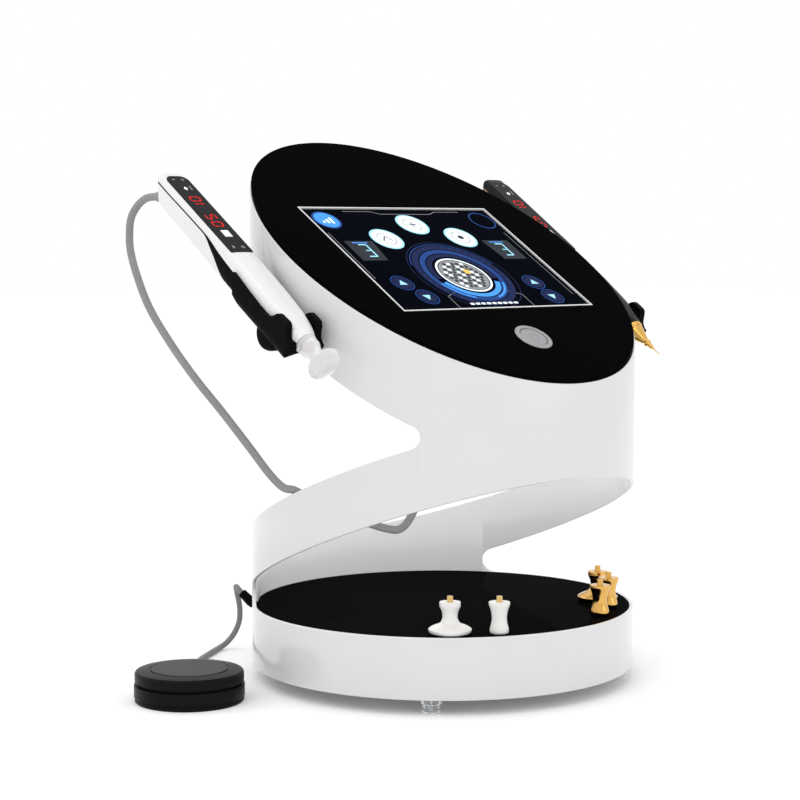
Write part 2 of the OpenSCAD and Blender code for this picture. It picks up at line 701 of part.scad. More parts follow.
module cradle_bosses() color("black") difference() {
    for (side = [left, right]) difference() {
        on_plate() translate([0, boss_s, -boss_drop]) rotate([0, side * 90, 0])
            translate([0, 0, outer_r / 2]) cylinder(d = boss_d, h = boss_out - outer_r / 2);
        in_wand(side) {
            trough_block();
            wand_room();
        }
    }
    cylinder(r = outer_r, h = 2 * plate_z, $fn = 180);
    boss_screw_holes(m4_d + 2 * screw_fit);
}

module at_pedal() translate([pedal_at[0], pedal_at[1], 0]) children();

module pedal_base() color("black") at_pedal() difference() {
    union() {
        translate([0, 0, floor_z]) cylinder(d1 = pedal_d - 2, d2 = pedal_d, h = sole_t);
        translate([0, 0, floor_z + sole_t]) cylinder(d = pedal_d, h = pedal_base_h - sole_t);
        rotate([0, 0, pedal_out_a]) translate([pedal_d / 2 - 4, 0, pedal_exit_z]) rotate([0, 90, 0])
            cylinder(d1 = 9, d2 = pedal_cord_d + 2, h = 4 + pedal_gland_l);
    }
    rotate([0, 0, pedal_out_a]) translate([pedal_d / 2 + pedal_gland_l - 5, 0, pedal_exit_z]) rotate([0, 90, 0])
        cylinder(d = pedal_cord_d + 0.2, h = 10);
    translate([0, 0, floor_z + pedal_shell]) cylinder(d = pedal_d - 2 * pedal_shell, h = pedal_h);
}

module pedal_cap() color("black") at_pedal() difference() {
    union() {
        rotate_extrude() polygon([[0, cap_z], [pedal_d / 2 - 0.6, cap_z], [pedal_d / 2 - 0.6, pad_z - 2.4],
            [pedal_d / 2 - 1.6, pad_z - 1.6], [pad_d / 2 + 1, pad_z - 0.2], [0, pad_z - 0.2]]);
        translate([0, 0, cap_z - 6]) cylinder(d = pedal_d - 2 * pedal_shell - 2 * pedal_slot, h = 7);
    }
    translate([0, 0, cap_z - 7]) cylinder(d = pedal_d - 4 * pedal_shell - 2, h = pad_z - cap_z + 7 - pedal_shell);
    translate([0, 0, pad_z - 1]) cylinder(d = pad_d + 0.2, h = 3);
}

module pedal_pad() color("gray") at_pedal() translate([0, 0, pad_z - 1]) cylinder(d = pad_d, h = 1.3);

module pedal_spring() color("silver") at_pedal() translate([0, 0, floor_z + pedal_shell]) difference() {
    cylinder(d = spring_d, h = pedal_h - 2 * pedal_shell);
    translate([0, 0, -1]) cylinder(d = spring_d - 2 * spring_wire, h = pedal_h);
}

module wand_cord() color("gray") sweep_tube(wand_cord_at, wand_cord_d);

module wand_plug() color("silver") on_plate() translate([left * socket_x, socket_s, floor_n - socket_flange_t])
    mirror([0, 0, 1]) {
        translate([0, 0, -socket_bore_l + 2]) cylinder(d = socket_bore_d - 0.2, h = socket_bore_l - 1);
        translate([0, 0, fit_gap]) cylinder(d = 17, h = 10);
        translate([0, 0, 10]) cylinder(d = 12, h = 10);
        translate([0, 0, 20]) difference() {
            cylinder(d1 = 11, d2 = wand_cord_d + 2.4, h = 10);
            translate([0, 0, 5]) cylinder(d = wand_cord_d + 0.2, h = 8);
        }
    }

module pedal_cord() color("dimgray") sweep_tube(pedal_cord_at, pedal_cord_d);

module pedal_plug() color("black") {
    jack_place() {
        translate([0, 0, inner_r - 6]) cylinder(d = jack_bore_d - 0.2, h = 8 + wall + jack_flange_t);
        translate([0, 0, outer_r + jack_flange_t + fit_gap]) cylinder(d = 9, h = 17);
    }
    rotate([0, 0, jack_a]) translate([outer_r + 18, 0, jack_z]) rotate([0, 50, 0]) difference() {
        cylinder(d1 = 9, d2 = 7.6, h = 12);
        translate([0, 0, 7]) cylinder(d = pedal_cord_d + 0.2, h = 8);
    }
}

base_shell();
ribbon_shell();
drum_shell();
top_plate();
screen_frame();
touch_glass();
lcd_panel();
drum_floor();
drum_screws();
main_board();
plasma_generator();
tray_disc();
bottom_plate();
feet();
foot_screws();
power_supply();
power_inlet();
pedal_socket();
wand_sockets();
link_cable();
button_ring();
power_button();
power_switch();
cradle(left);  // left_cradle
cradle(right);  // right_cradle
cradle_bosses();
top_shell(left);  // left_top_shell
lower_shell(left);  // left_lower_shell
grip(left);  // left_grip
window(left);  // left_window
key(left);  // left_key
board(left);  // left_board
coil(left);  // left_coil
collar(left);  // left_collar
gland(left);  // left_gland
top_shell(right);  // right_top_shell
lower_shell(right);  // right_lower_shell
grip(right);  // right_grip
window(right);  // right_window
key(right);  // right_key
board(right);  // right_board
coil(right);  // right_coil
collar(right);  // right_collar
gland(right);  // right_gland
left_tip();
right_tip();
color("white") on_tray(white_disc_at) tip(disc_outline(disc_d / 2), pin_l);  // white_disc_tip
color("white") on_tray(white_slim_at) tip(slim_outline, pin_l);  // white_slim_tip
color("gold") on_tray(gold_disc_at) tip(disc_outline(disc_d / 2), pin_l);  // gold_disc_tip
color("gold") on_tray(gold_front_at) tip(slim_outline, pin_l);  // gold_front_tip
color("gold") on_tray(gold_rear_at) tip(slim_outline, pin_l);  // gold_rear_tip
pedal_base();
pedal_cap();
pedal_pad();
pedal_spring();
wand_cord();
wand_plug();
pedal_cord();
pedal_plug();
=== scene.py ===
import bpy
import bmesh
import math
import numpy as np
from mathutils import Matrix, Vector


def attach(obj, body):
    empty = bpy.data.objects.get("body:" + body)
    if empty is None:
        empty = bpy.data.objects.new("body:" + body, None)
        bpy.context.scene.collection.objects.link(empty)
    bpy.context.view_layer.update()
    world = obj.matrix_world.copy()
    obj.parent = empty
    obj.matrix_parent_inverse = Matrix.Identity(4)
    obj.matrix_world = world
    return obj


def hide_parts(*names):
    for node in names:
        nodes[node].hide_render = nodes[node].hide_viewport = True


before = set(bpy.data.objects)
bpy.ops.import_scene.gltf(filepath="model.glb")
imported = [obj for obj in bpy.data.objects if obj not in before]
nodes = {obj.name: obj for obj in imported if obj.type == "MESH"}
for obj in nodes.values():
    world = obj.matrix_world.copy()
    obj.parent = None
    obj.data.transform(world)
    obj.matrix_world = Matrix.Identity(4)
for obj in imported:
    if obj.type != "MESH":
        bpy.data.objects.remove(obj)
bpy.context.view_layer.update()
scene = bpy.context.scene
metre = 0.001  # sizes below are in millimetres, as in the solids

# Camera at the photograph's place
lookFrom = dict(at=(-1.1432, -1.2823, 0.3609), tilt=85.286, turn=-40.53, lens=92.58, sensor=36, near=0.05, far=50)
camera = bpy.data.objects.new("camera", bpy.data.cameras.new("camera"))
scene.collection.objects.link(camera)
camera.data.sensor_width = lookFrom["sensor"]
camera.data.lens = lookFrom["lens"]
camera.location = lookFrom["at"]
camera.rotation_euler = (math.radians(lookFrom["tilt"]), 0, math.radians(lookFrom["turn"]))
camera.data.clip_start, camera.data.clip_end = lookFrom["near"], lookFrom["far"]
scene.camera = camera


# One group for every material: wide noise mixes the two colours, and fine noise times the spread is added to
# the roughness and raises the bump
def makeGrain():
    g = bpy.data.node_groups.new("surfaceGrain", "ShaderNodeTree")
    for name, kind, way in (("Color", "Color", "INPUT"), ("Dark", "Color", "INPUT"), ("Roughness", "Float", "INPUT"),
            ("Spread", "Float", "INPUT"), ("Scale", "Float", "INPUT"), ("Bump", "Float", "INPUT"),
            ("Color", "Color", "OUTPUT"), ("Roughness", "Float", "OUTPUT"), ("Normal", "Vector", "OUTPUT")):
        g.interface.new_socket(name, in_out=way, socket_type="NodeSocket" + kind)
    n, k = g.nodes, g.links
    given, result = n.new("NodeGroupInput"), n.new("NodeGroupOutput")
    where = n.new("ShaderNodeTexCoord")
    fine, wide = n.new("ShaderNodeTexNoise"), n.new("ShaderNodeTexNoise")
    fine.inputs["Detail"].default_value = 4
    wide.inputs["Scale"].default_value = 22
    wide.inputs["Detail"].default_value = 3
    mix = n.new("ShaderNodeMix")
    mix.data_type = "RGBA"
    rough = n.new("ShaderNodeMath")
    rough.operation = "MULTIPLY_ADD"
    bump = n.new("ShaderNodeBump")
    bump.inputs["Distance"].default_value = 0.0004
    for source, target in (
            (where.outputs["Object"], fine.inputs["Vector"]), (where.outputs["Object"], wide.inputs["Vector"]),
            (given.outputs["Scale"], fine.inputs["Scale"]), (wide.outputs["Fac"], mix.inputs["Factor"]),
            (given.outputs["Dark"], mix.inputs["A"]), (given.outputs["Color"], mix.inputs["B"]),
            (fine.outputs["Fac"], rough.inputs[0]), (given.outputs["Spread"], rough.inputs[1]),
            (given.outputs["Roughness"], rough.inputs[2]), (given.outputs["Bump"], bump.inputs["Strength"]),
            (fine.outputs["Fac"], bump.inputs["Height"]), (mix.outputs["Result"], result.inputs["Color"]),
            (rough.outputs[0], result.inputs["Roughness"]), (bump.outputs[0], result.inputs["Normal"])):
        k.new(source, target)
    return g


grain = makeGrain()


# A finish from its colour and its deeper shade, roughness and its spread, grain scale and bump; level is the gloss
def makeMaterial(name, color, dark=None, rough=0.3, spread=0.06, scale=900, bump=0.02, metal=0.0, level=0.5,
        coat=0.0, alpha=1.0, transmission=0.0, glow=0.0, ior=1.5):
    m = bpy.data.materials.new(name)
    m.use_nodes = True
    shader = m.node_tree.nodes["Principled BSDF"]
    g = m.node_tree.nodes.new("ShaderNodeGroup")
    g.node_tree = grain
    dark = dark or [c * 0.93 for c in color]
    for socket, value in (("Color", (*color, 1)), ("Dark", (*dark, 1)), ("Roughness", rough), ("Spread", spread),
            ("Scale", scale), ("Bump", bump)):
        g.inputs[socket].default_value = value
    for source, target in (("Color", "Base Color"), ("Roughness", "Roughness"), ("Normal", "Normal")):
        m.node_tree.links.new(g.outputs[source], shader.inputs[target])
    for socket, value in (("Metallic", metal), ("Specular IOR Level", level), ("Coat Weight", coat),
            ("Coat Roughness", 0.06), ("Alpha", alpha), ("Transmission Weight", transmission), ("IOR", ior)):
        shader.inputs[socket].default_value = value
    if glow:
        shader.inputs["Emission Color"].default_value = (*color, 1)
        shader.inputs["Emission Strength"].default_value = glow
    return m


# Finishes, each with its colour and what differs from a plain semi-gloss
looks = {
    "whiteGloss": dict(color=(0.69, 0.693, 0.697), dark=(0.665, 0.668, 0.672), rough=0.16, coat=0.35),
    "whiteWand": dict(color=(0.80, 0.80, 0.80), rough=0.18, coat=0.4),
    "whiteCeramic": dict(color=(0.80, 0.785, 0.765), rough=0.22, spread=0.08, coat=0.25),
    "frosted": dict(color=(0.80, 0.785, 0.78), rough=0.34, level=0.4, transmission=0.25, ior=1.4),
    "plateBlack": dict(color=(0.002, 0.002, 0.0024), rough=0.05, spread=0.02, level=0.0006),
    "trayBlack": dict(color=(0.002, 0.002, 0.0023), rough=0.03, spread=0.02, level=0.0001),
    "blackGloss": dict(color=(0.008, 0.008, 0.009), rough=0.2, level=0.12),
    "blackSatin": dict(color=(0.004, 0.004, 0.0045), rough=0.28, spread=0.15, scale=2600, bump=0.1, level=0.015),
    "gripBlack": dict(color=(0.005, 0.005, 0.0055), rough=0.22, spread=0.12, scale=2200, bump=0.08, level=0.02),
    "bronze": dict(color=(0.42, 0.27, 0.19), rough=0.24, metal=0.9, scale=1800, bump=0.05),
    "gold": dict(color=(0.78, 0.47, 0.14), dark=(0.70, 0.40, 0.10), rough=0.10, spread=0.08, metal=1.0),
    "steel": dict(color=(0.60, 0.61, 0.62), rough=0.25, spread=0.2, metal=1.0, scale=1500),
    "bezelBright": dict(color=(0.80, 0.80, 0.80), rough=0.25, spread=0.1, metal=0.3),
    "satinSilver": dict(color=(0.34, 0.34, 0.35), rough=0.35, spread=0.12, metal=0.4, scale=3000, bump=0.08),
    "chrome": dict(color=(0.80, 0.80, 0.82), rough=0.08, metal=1.0),
    "brass": dict(color=(0.72, 0.50, 0.20), rough=0.2, metal=1.0),
    "clearFoot": dict(color=(0.82, 0.84, 0.86), rough=0.08, transmission=0.85, ior=1.46, alpha=0.9),
    "greyPlastic": dict(color=(0.35, 0.36, 0.37), rough=0.45, spread=0.12, bump=0.1),
    "board": dict(color=(0.02, 0.16, 0.07), dark=(0.015, 0.11, 0.05), rough=0.4),
    "amber": dict(color=(0.55, 0.26, 0.06), rough=0.35, scale=700, bump=0.2),
    "screenDark": dict(color=(0.0015, 0.002, 0.005), rough=0.06, level=0.001),
    "lensBlack": dict(color=(0.006, 0.006, 0.007), rough=0.07, level=0.06),
    "keyWhite": dict(color=(0.85, 0.86, 0.86), rough=0.4, glow=0.25),
    "cordGrey": dict(color=(0.27, 0.27, 0.275), dark=(0.22, 0.22, 0.225), rough=0.48, spread=0.2, scale=1800,
        bump=0.12),
    "cordDark": dict(color=(0.20, 0.20, 0.21), rough=0.45, spread=0.15, scale=1800, bump=0.1),
    "pedalBlack": dict(color=(0.006, 0.006, 0.0065), rough=0.28, spread=0.15, scale=2200, bump=0.15, level=0.06),
    "padGrey": dict(color=(0.075, 0.075, 0.077), dark=(0.02, 0.02, 0.021), rough=0.6, spread=0.25, scale=650,
        bump=0.9),
    "redLit": dict(color=(0.62, 0.012, 0.01), glow=0.5, level=0.02),
    "whiteLit": dict(color=(0.72, 0.80, 0.84), glow=0.6, level=0.02),
    "mintLit": dict(color=(0.30, 0.62, 0.74), glow=0.5, level=0.02),
    "blueLit": dict(color=(0.05, 0.25, 0.70), glow=0.5, level=0.02),
    "blueMid": dict(color=(0.01, 0.045, 0.20), glow=0.35, level=0.02),
    "blueDeep": dict(color=(0.004, 0.010, 0.055), glow=0.3, level=0.02),
    "slate": dict(color=(0.022, 0.026, 0.034), glow=0.3, level=0.02),
    "markGrey": dict(color=(0.30, 0.31, 0.33), rough=0.4, level=0.05),
    "amberLit": dict(color=(0.75, 0.42, 0.10), glow=0.6, level=0.02),
}
mats = {name: makeMaterial(name, **look) for name, look in looks.items()}
print("materials", len(mats))

# Sizes of the console, the same as in the solids
console = dict(outerR=160.0, innerR=157.0, baseH=49.0, ribbonZ=104.0, ribbonH=49.0, ribbonSlope=math.radians(22),
    notchR=11.0, plateZ=342.0, plateTilt=math.radians(31.2), drumH=68.0, plateT=3.0, edge=0.8, angleStep=1.25)

# The wands: where they lie under the plate's face, their skin's half width, top and bottom at shares of its length,
# and the two seams of the grip
wand = dict(x=181.0, noseS=-75.0, noseDrop=19.7, lean=math.radians(2), length=222.0, noseZ=-13.5,
    stations=[[0, 9, -4.5, -22.5], [0.04, 11.2, -3.6, -24], [0.1, 12.6, -2.6, -25], [0.2, 13.6, -1.4, -25.4],
        [0.3, 14, -0.6, -25], [0.41, 14, -0.1, -25], [0.5, 14, 0, -25], [0.62, 14, 0, -24.33],
        [0.76, 14, 0, -23.67], [0.9, 14, 0, -23], [1, 13.4, 0, -22.4]],
    topSeam=[[227, -6], [140, -5], [112, -8], [88, -9.5], [40, -11], [-5, -13]],
    lowSeam=[[227, -7.2], [142, -6.2], [125, -12], [107, -20], [86, -30], [-5, -60]],
    shearFrom=150.0, glandZ=-16)
rearTurn = console["plateTilt"] + wand["lean"]


# A turn about one axis, and a shift, each as a four by four matrix
def turned(axis, angle):
    return np.array(Matrix.Rotation(angle, 4, axis))


def moved(x, y, z):
    return np.array(Matrix.Translation((x, y, z)))


# Points carried to a place: turned by its matrix, then shifted
def placed(verts, place):
    return verts @ place[:3, :3].T + place[:3, 3]


onPlate = moved(0, 0, console["plateZ"]) @ turned("X", console["plateTilt"])


# A wand's own place: on the plate's face, at its side, sunk and leaning
def inWand(side):
    return onPlate @ moved(side * wand["x"], wand["noseS"], -wand["noseDrop"]) @ turned("X", wand["lean"])


# Makes a named piece from points and faces; welded pieces have their doubles merged and their normals recalculated
def makePiece(name, verts, faces, materials, body="root", replaces=(), slot=None, place=None, sharp=32,
        faceMaterials=None, weld=True):
    verts = np.asarray(verts, float)
    if place is not None:
        verts = placed(verts, place)
    mesh = bpy.data.meshes.new(name)
    mesh.from_pydata((verts * metre).tolist(), [], faces if isinstance(faces, list) else faces.tolist())
    for m in [materials] if isinstance(materials, str) else materials:
        mesh.materials.append(mats[m])
    if faceMaterials is not None:
        mesh.polygons.foreach_set("material_index", np.asarray(faceMaterials, "i"))
    piece = bpy.data.objects.new(name, mesh)
    scene.collection.objects.link(piece)
    if weld:
        b = bmesh.new()
        b.from_mesh(mesh)
        bmesh.ops.remove_doubles(b, verts=b.verts, dist=2e-6)
        bmesh.ops.dissolve_degenerate(b, edges=b.edges, dist=1e-6)
        bmesh.ops.recalc_face_normals(b, faces=b.faces)
        b.to_mesh(mesh)
        b.free()
    mesh.shade_smooth()
    mesh.set_sharp_from_angle(angle=math.radians(sharp))
    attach(piece, body)
    if replaces:
        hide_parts(*replaces)
    return piece


# Faces between the rows of a grid of points
def gridFaces(rows, cols, wrapRows=False, wrapCols=False):
    i, j = np.meshgrid(np.arange(rows if wrapRows else rows - 1), np.arange(cols if wrapCols else cols - 1),
        indexing="ij")
    here, there, right = i * cols, (i + 1) % rows * cols, (j + 1) % cols
    return np.stack([here + j, there + j, there + right, here + right], -1).reshape(-1, 4)


# Rows of points as one list of points, with the faces between them
def rowsMesh(rows):
    return rows.reshape(-1, 3), gridFaces(*rows.shape[:2])


# Several meshes as one: each one's faces count on from the points before it
def joinParts(parts):
    starts = np.cumsum([0] + [len(v) for v, f in parts])
    faces = [q for (v, f), start in zip(parts, starts) for q in (np.asarray(f) + start).tolist()]
    return np.vstack([v for v, f in parts]), faces


# A cubic curve through points whose slopes are the weighted harmonic mean of the two sides, so it never overshoots
def smoothLine(points, at):
    x, y = np.array(sorted(points), float).T
    h, d = np.diff(x), np.diff(y) / np.diff(x)
    m = np.concatenate([d[:1], np.zeros(len(x) - 2), d[-1:]])
    w1, w2 = 2 * h[1:] + h[:-1], h[1:] + 2 * h[:-1]
    with np.errstate(all="ignore"):
        m[1:-1] = np.where(d[:-1] * d[1:] > 0, (w1 + w2) / (w1 / d[:-1] + w2 / d[1:]), 0)
    at = np.clip(at, x[0], x[-1])
    i = np.clip(np.searchsorted(x, at) - 1, 0, len(x) - 2)
    t = (at - x[i]) / h[i]
    return ((1 + 2 * t) * (1 - t) ** 2 * y[i] + t * (1 - t) ** 2 * h[i] * m[i]
        + t * t * (3 - 2 * t) * y[i + 1] + t * t * (t - 1) * h[i] * m[i + 1])


# A turned form: each outline point of radius and height goes round the Z axis
def lathe(outline, steps=96):
    r, z = np.array(outline, float).T
    a = np.arange(steps) * 2 * math.pi / steps
    verts = np.stack([np.outer(r, np.cos(a)), np.outer(r, np.sin(a)), np.outer(z, np.ones(steps))], -1)
    return verts.reshape(-1, 3), gridFaces(len(r), steps, wrapCols=True)


# An outline with each corner replaced by a parabola that starts at most one radius from it
def rounded(points, radius=0.5, steps=3):
    p = np.array(points, float)
    corner, before, after = p[1:-1], p[:-2] - p[1:-1], p[2:] - p[1:-1]
    la, lb = np.linalg.norm(before, axis=1), np.linalg.norm(after, axis=1)
    cut = np.minimum(radius, 0.45 * np.minimum(la, lb))
    a, b = corner + before * (cut / la)[:, None], corner + after * (cut / lb)[:, None]
    t = np.linspace(0, 1, steps + 1)[:, None, None]
    bend = (1 - t) ** 2 * a + 2 * t * (1 - t) * corner + t * t * b
    out = np.vstack([p[:1], bend.transpose(1, 0, 2).reshape(-1, 2), p[-1:]])
    return np.column_stack([np.maximum(out[:, 0], 0), out[:, 1]])


# A Catmull-Rom curve: each stretch is the cubic through its two ends with slopes from the points beside them
def spline(points, each=10):
    p = np.array([points[0], *points, points[-1]], float)
    a, b, c, d = (p[k:len(p) - 3 + k, None] for k in range(4))
    t = (np.arange(each) / each)[None, :, None]
    out = 0.5 * (2 * b + (c - a) * t + (2 * a - 5 * b + 4 * c - d) * t ** 2 + (3 * b - a - 3 * c + d) * t ** 3)
    return np.vstack([out.reshape(-1, p.shape[1]), p[-2:-1]])


# Cords: each route runs from the exit, in the same points as the solids
wandLead = dict(name="wandLead", diameter=6.5, material="cordGrey", replaces="wand_cord", plug="wand_plug",
    farEnd="object", lay="hanging", slot="cord_grey", plugMaterial="chrome",
    route=[[-181, 140, 388.7], [-181, 151.8, 388.7], [-181, 162, 388.6], [-181, 172, 386.9],
        [-181, 183, 381.4], [-182, 191, 372], [-182, 194, 360], [-182, 193, 344], [-181, 185, 323],
        [-180, 168, 296], [-178, 141, 268], [-176, 108, 240], [-173, 74, 214], [-169, 42, 187],
        [-165, 22, 168], [-160.5, 10, 157.8], [-155, 3, 155.8], [-149.5, -3.5, 151.5], [-143, -10, 145.5],
        [-136, -17, 140], [-126, -27, 135], [-113, -38, 130], [-101, -46, 125.5], [-90, -49, 124],
        [-80, -49, 130], [-71.5, -50, 144], [-65, -52, 165], [-61, -56, 187], [-60, -61, 197.5],
        [-60, -62.5, 200.1], [-60, -64.6, 203.5]])
pedalLead = dict(name="pedalLead", diameter=5.0, material="cordDark", replaces="pedal_cord", plug="pedal_plug",
    farEnd="object", lay="loose", slot="cord_dark", plugMaterial="blackSatin",
    route=[[-182.6, 83.8, -7.5], [-179.45, 86.25, -7.5], [-173.1, 91.4, -7.6], [-165.5, 104.5, -9.1],
        [-159, 125, -9.4], [-149, 146, -9.4], [-134, 164, -9.4], [-117, 177, -9.4], [-102, 188, -9.4],
        [-91, 195.5, -9.3], [-82, 197, -6], [-76, 194, 2], [-73, 190.5, 13], [-74, 188, 25], [-78, 185, 36],
        [-83, 180.5, 44], [-87.5, 174.5, 48], [-88.8, 168.6, 46.2], [-87.9, 165.3, 43.7], [-86.4, 162.6, 41.1]])


# A cord's round curve along its route
def cordPiece(cord):
    line = spline(cord["route"], 6)
    curve = bpy.data.curves.new(cord["name"], "CURVE")
    curve.dimensions = "3D"
    curve.bevel_depth = cord["diameter"] / 2 * metre
    curve.bevel_resolution = 6
    path = curve.splines.new("POLY")
    path.points.add(len(line) - 1)
    path.points.foreach_set("co", np.column_stack([line * metre, np.ones(len(line))]).ravel())
    path.use_smooth = True
    curve.use_fill_caps = True
    curve.materials.append(mats[cord["material"]])
    piece = bpy.data.objects.new(cord["name"], curve)
    scene.collection.objects.link(piece)
    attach(piece, "root")
    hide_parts(cord["replaces"])
    plug = nodes[cord["plug"]]
    plug.data.materials.clear()
    plug.data.materials.append(mats[cord["plugMaterial"]])


cordPiece(wandLead)
cordPiece(pedalLead)

# Console walls: one round wall, cut by sloping planes into base, ribbon and drum, with two round-ended gaps
outerR, innerR, notchR, baseH = (console[k] for k in ("outerR", "innerR", "notchR", "baseH"))
ribbonSlope, plateTilt = console["ribbonSlope"], console["plateTilt"]
slopeRun, tiltRun = math.tan(ribbonSlope), math.tan(plateTilt)
wallMid = (outerR + innerR) / 2


# Heights of the walls' sloping edges at y: a height at the middle, and a rise or fall with y
def ribbonLow(y):
    return console["ribbonZ"] - slopeRun * y


def ribbonHigh(y):
    return ribbonLow(y) + console["ribbonH"]


def drumLow(y):
    return console["plateZ"] - console["drumH"] + tiltRun * y


def drumHigh(y):
    return console["plateZ"] - console["plateT"] / math.cos(plateTilt) + tiltRun * y


# Centres of the gaps' round ends, each one radius from the two edges that meet there
lowerHalf = ribbonSlope / 2
lowerReach = notchR / math.sin(lowerHalf)
lowerMid = ((console["ribbonZ"] - baseH) / slopeRun - lowerReach * math.cos(lowerHalf), baseH + notchR)
upperHalf, upperWay = (plateTilt + ribbonSlope) / 2, (plateTilt - ribbonSlope) / 2
upperReach = notchR / math.sin(upperHalf)
upperCornerY = -(drumLow(0) - ribbonHigh(0)) / (slopeRun + tiltRun)
upperMid = (upperCornerY + upperReach * math.cos(upperWay),
    ribbonHigh(upperCornerY) + upperReach * math.sin(upperWay))


# Half height of a gap's round end at y: the other side of a triangle on its radius
def arc(y, mid):
    return np.sqrt(np.maximum(notchR ** 2 - (y - mid[0]) ** 2, 0))


# Each wall's edges at the places y: low, high, the two slopes, and how far the gap beside each edge is open
def wallEdges(y):
    shut = y > lowerMid[0] + notchR
    baseTop = np.where(shut, lowerMid[1], np.where(y < lowerMid[0], baseH, lowerMid[1] - arc(y, lowerMid)))
    onLine = ~shut & (y < lowerMid[0] + notchR * math.sin(ribbonSlope))
    ribbonBottom = np.where(onLine, ribbonLow(y), np.where(shut, lowerMid[1], lowerMid[1] + arc(y, lowerMid)))
    lowRun, lowGap = np.where(onLine, -slopeRun, 0), np.where(shut, 0, ribbonBottom - baseTop)
    shut = y < upperMid[0] - notchR
    onLow = ~shut & (y > upperMid[0] - notchR * math.sin(ribbonSlope))
    onHigh = ~shut & (y > upperMid[0] - notchR * math.sin(plateTilt))
    ribbonTop = np.where(onLow, ribbonHigh(y), np.where(shut, upperMid[1], upperMid[1] - arc(y, upperMid)))
    drumBottom = np.where(onHigh, drumLow(y), np.where(shut, upperMid[1], upperMid[1] + arc(y, upperMid)))
    ribbonRun, drumRun = np.where(onLow, -slopeRun, 0), np.where(onHigh, tiltRun, 0)
    highGap = np.where(shut, 0, drumBottom - ribbonTop)
    wide = 99  # where no gap lies beside an edge, its rounding is full
    return dict(base=(0, baseTop, 0, 0, wide, lowGap),
        ribbon=(ribbonBottom, ribbonTop, lowRun, ribbonRun, lowGap, highGap),
        drum=(drumBottom, drumHigh(y), drumRun, tiltRun, highGap, wide))


# Angles round the wall: even steps, and closer ones where the gaps' ends curve
def wallAngles():
    bend = notchR * np.sin(np.radians(np.arange(17) * 90 / 16))
    a = np.degrees(np.arcsin(np.concatenate([lowerMid[0] + bend, upperMid[0] - bend]) / wallMid))
    angles = np.sort(np.concatenate([np.arange(0, 360, console["angleStep"]), a % 360, (180 - a) % 360]))
    return np.radians(angles[np.diff(angles, prepend=-1) > 1e-6])


# A wall's section, two upright faces with rounded edges, carried round the circle between its edges
def wallBand(name):
    t = wallAngles()[:, None]
    y = wallMid * np.sin(t)
    low, high, lowRun, highRun, lowGap, highGap = (v + 0 * y for v in wallEdges(y)[name])
    edge = console["edge"]
    eLow, eHigh = edge * np.minimum(1, lowGap / (6 * edge)), edge * np.minimum(1, highGap / (6 * edge))
    up = np.radians([0, 30, 60, 90])
    down = up[::-1]
    r = np.hstack([outerR - eLow * (1 - np.cos(down)), outerR - eHigh * (1 - np.cos(up)),
        innerR + eHigh * (1 - np.cos(down)), innerR + eLow * (1 - np.cos(up))])
    z = np.hstack([low + eLow * (1 - np.sin(down)), high - eHigh * (1 - np.sin(up)),
        high - eHigh * (1 - np.sin(down)), low + eLow * (1 - np.sin(up))])
    run = np.hstack([np.repeat(v, 4, 1) for v in (lowRun, highRun, highRun, lowRun)])
    z = z + run * (r - wallMid) * np.sin(t)
    verts = np.stack([r * np.cos(t), r * np.sin(t), z], -1).reshape(-1, 3)
    return verts, gridFaces(*r.shape, wrapRows=True, wrapCols=True)


for wall in ("base", "ribbon", "drum"):
    makePiece(wall + "Wall", *wallBand(wall), "whiteGloss", replaces=[wall + "_shell"], slot="white_gloss",
        weld=False, sharp=40)
print("walls done")

# Wands
wandRows = np.concatenate([np.linspace(0, 24, 13), np.linspace(28, wand["length"], 50)])[:, None]


# Section at y: half width, middle height, half height, and the power of its superellipse, round at the nose
def wandSection(y, grow=0.0):
    share = y / wand["length"]
    width, top, bottom = (smoothLine([[s[0], s[k]] for s in wand["stations"]], share) for k in (1, 2, 3))
    power = 2 + 3 * np.clip(share / 0.12, 0, 1)
    return width + grow, (top + bottom) / 2, (top - bottom) / 2 + grow, power


# Superellipse point at an angle: each of cosine and sine is raised to two over the power
def sectionPoint(section, a):
    w, c, h, power = section
    ca, sa = np.cos(a), np.sin(a)
    return w * np.copysign(np.abs(ca) ** (2 / power), ca), c + h * np.copysign(np.abs(sa) ** (2 / power), sa)


# The angle at which a section reaches the height z
def crossing(section, z):
    w, c, h, power = section
    u = np.clip((z - c) / h, -1, 1)
    return np.copysign(np.arcsin(np.abs(u) ** (power / 2)), u)


# The rear stretch leans so that the wand ends in an upright face
def rearShear(y, z):
    start, length = wand["shearFrom"], wand["length"]
    rear = length + z * math.tan(rearTurn)
    return np.where(y <= start, y, start + (y - start) * (rear - start) / (length - start))


# One stretch of the wand's skin between two angles that change along it. Away from its edges each point moves
# in by the groove times its share of the section's half size, or out where the groove is negative
def skinPatch(first, last, count, groove=0.0):
    section = wandSection(wandRows)
    w, c, h, power = section
    a, b = first(wandRows, section), last(wandRows, section)
    u = np.linspace(0, 1, count)
    x, z = sectionPoint(section, a + (b - a) * u)
    edge = groove * np.minimum(1, 14 * np.minimum(u, 1 - u))
    inX, inZ = x / np.maximum(w, 1) * edge, (z - c) / np.maximum(h, 1) * edge
    return np.stack([x - inX, rearShear(wandRows, z), z - inZ], -1)


# Angles of the grip's two seams at y, where the section reaches the seam's height
def seamTop(y, section):
    return crossing(section, smoothLine(wand["topSeam"], y))


def seamLow(y, section):
    return np.minimum(crossing(section, smoothLine(wand["lowSeam"], y)), seamTop(y, section))


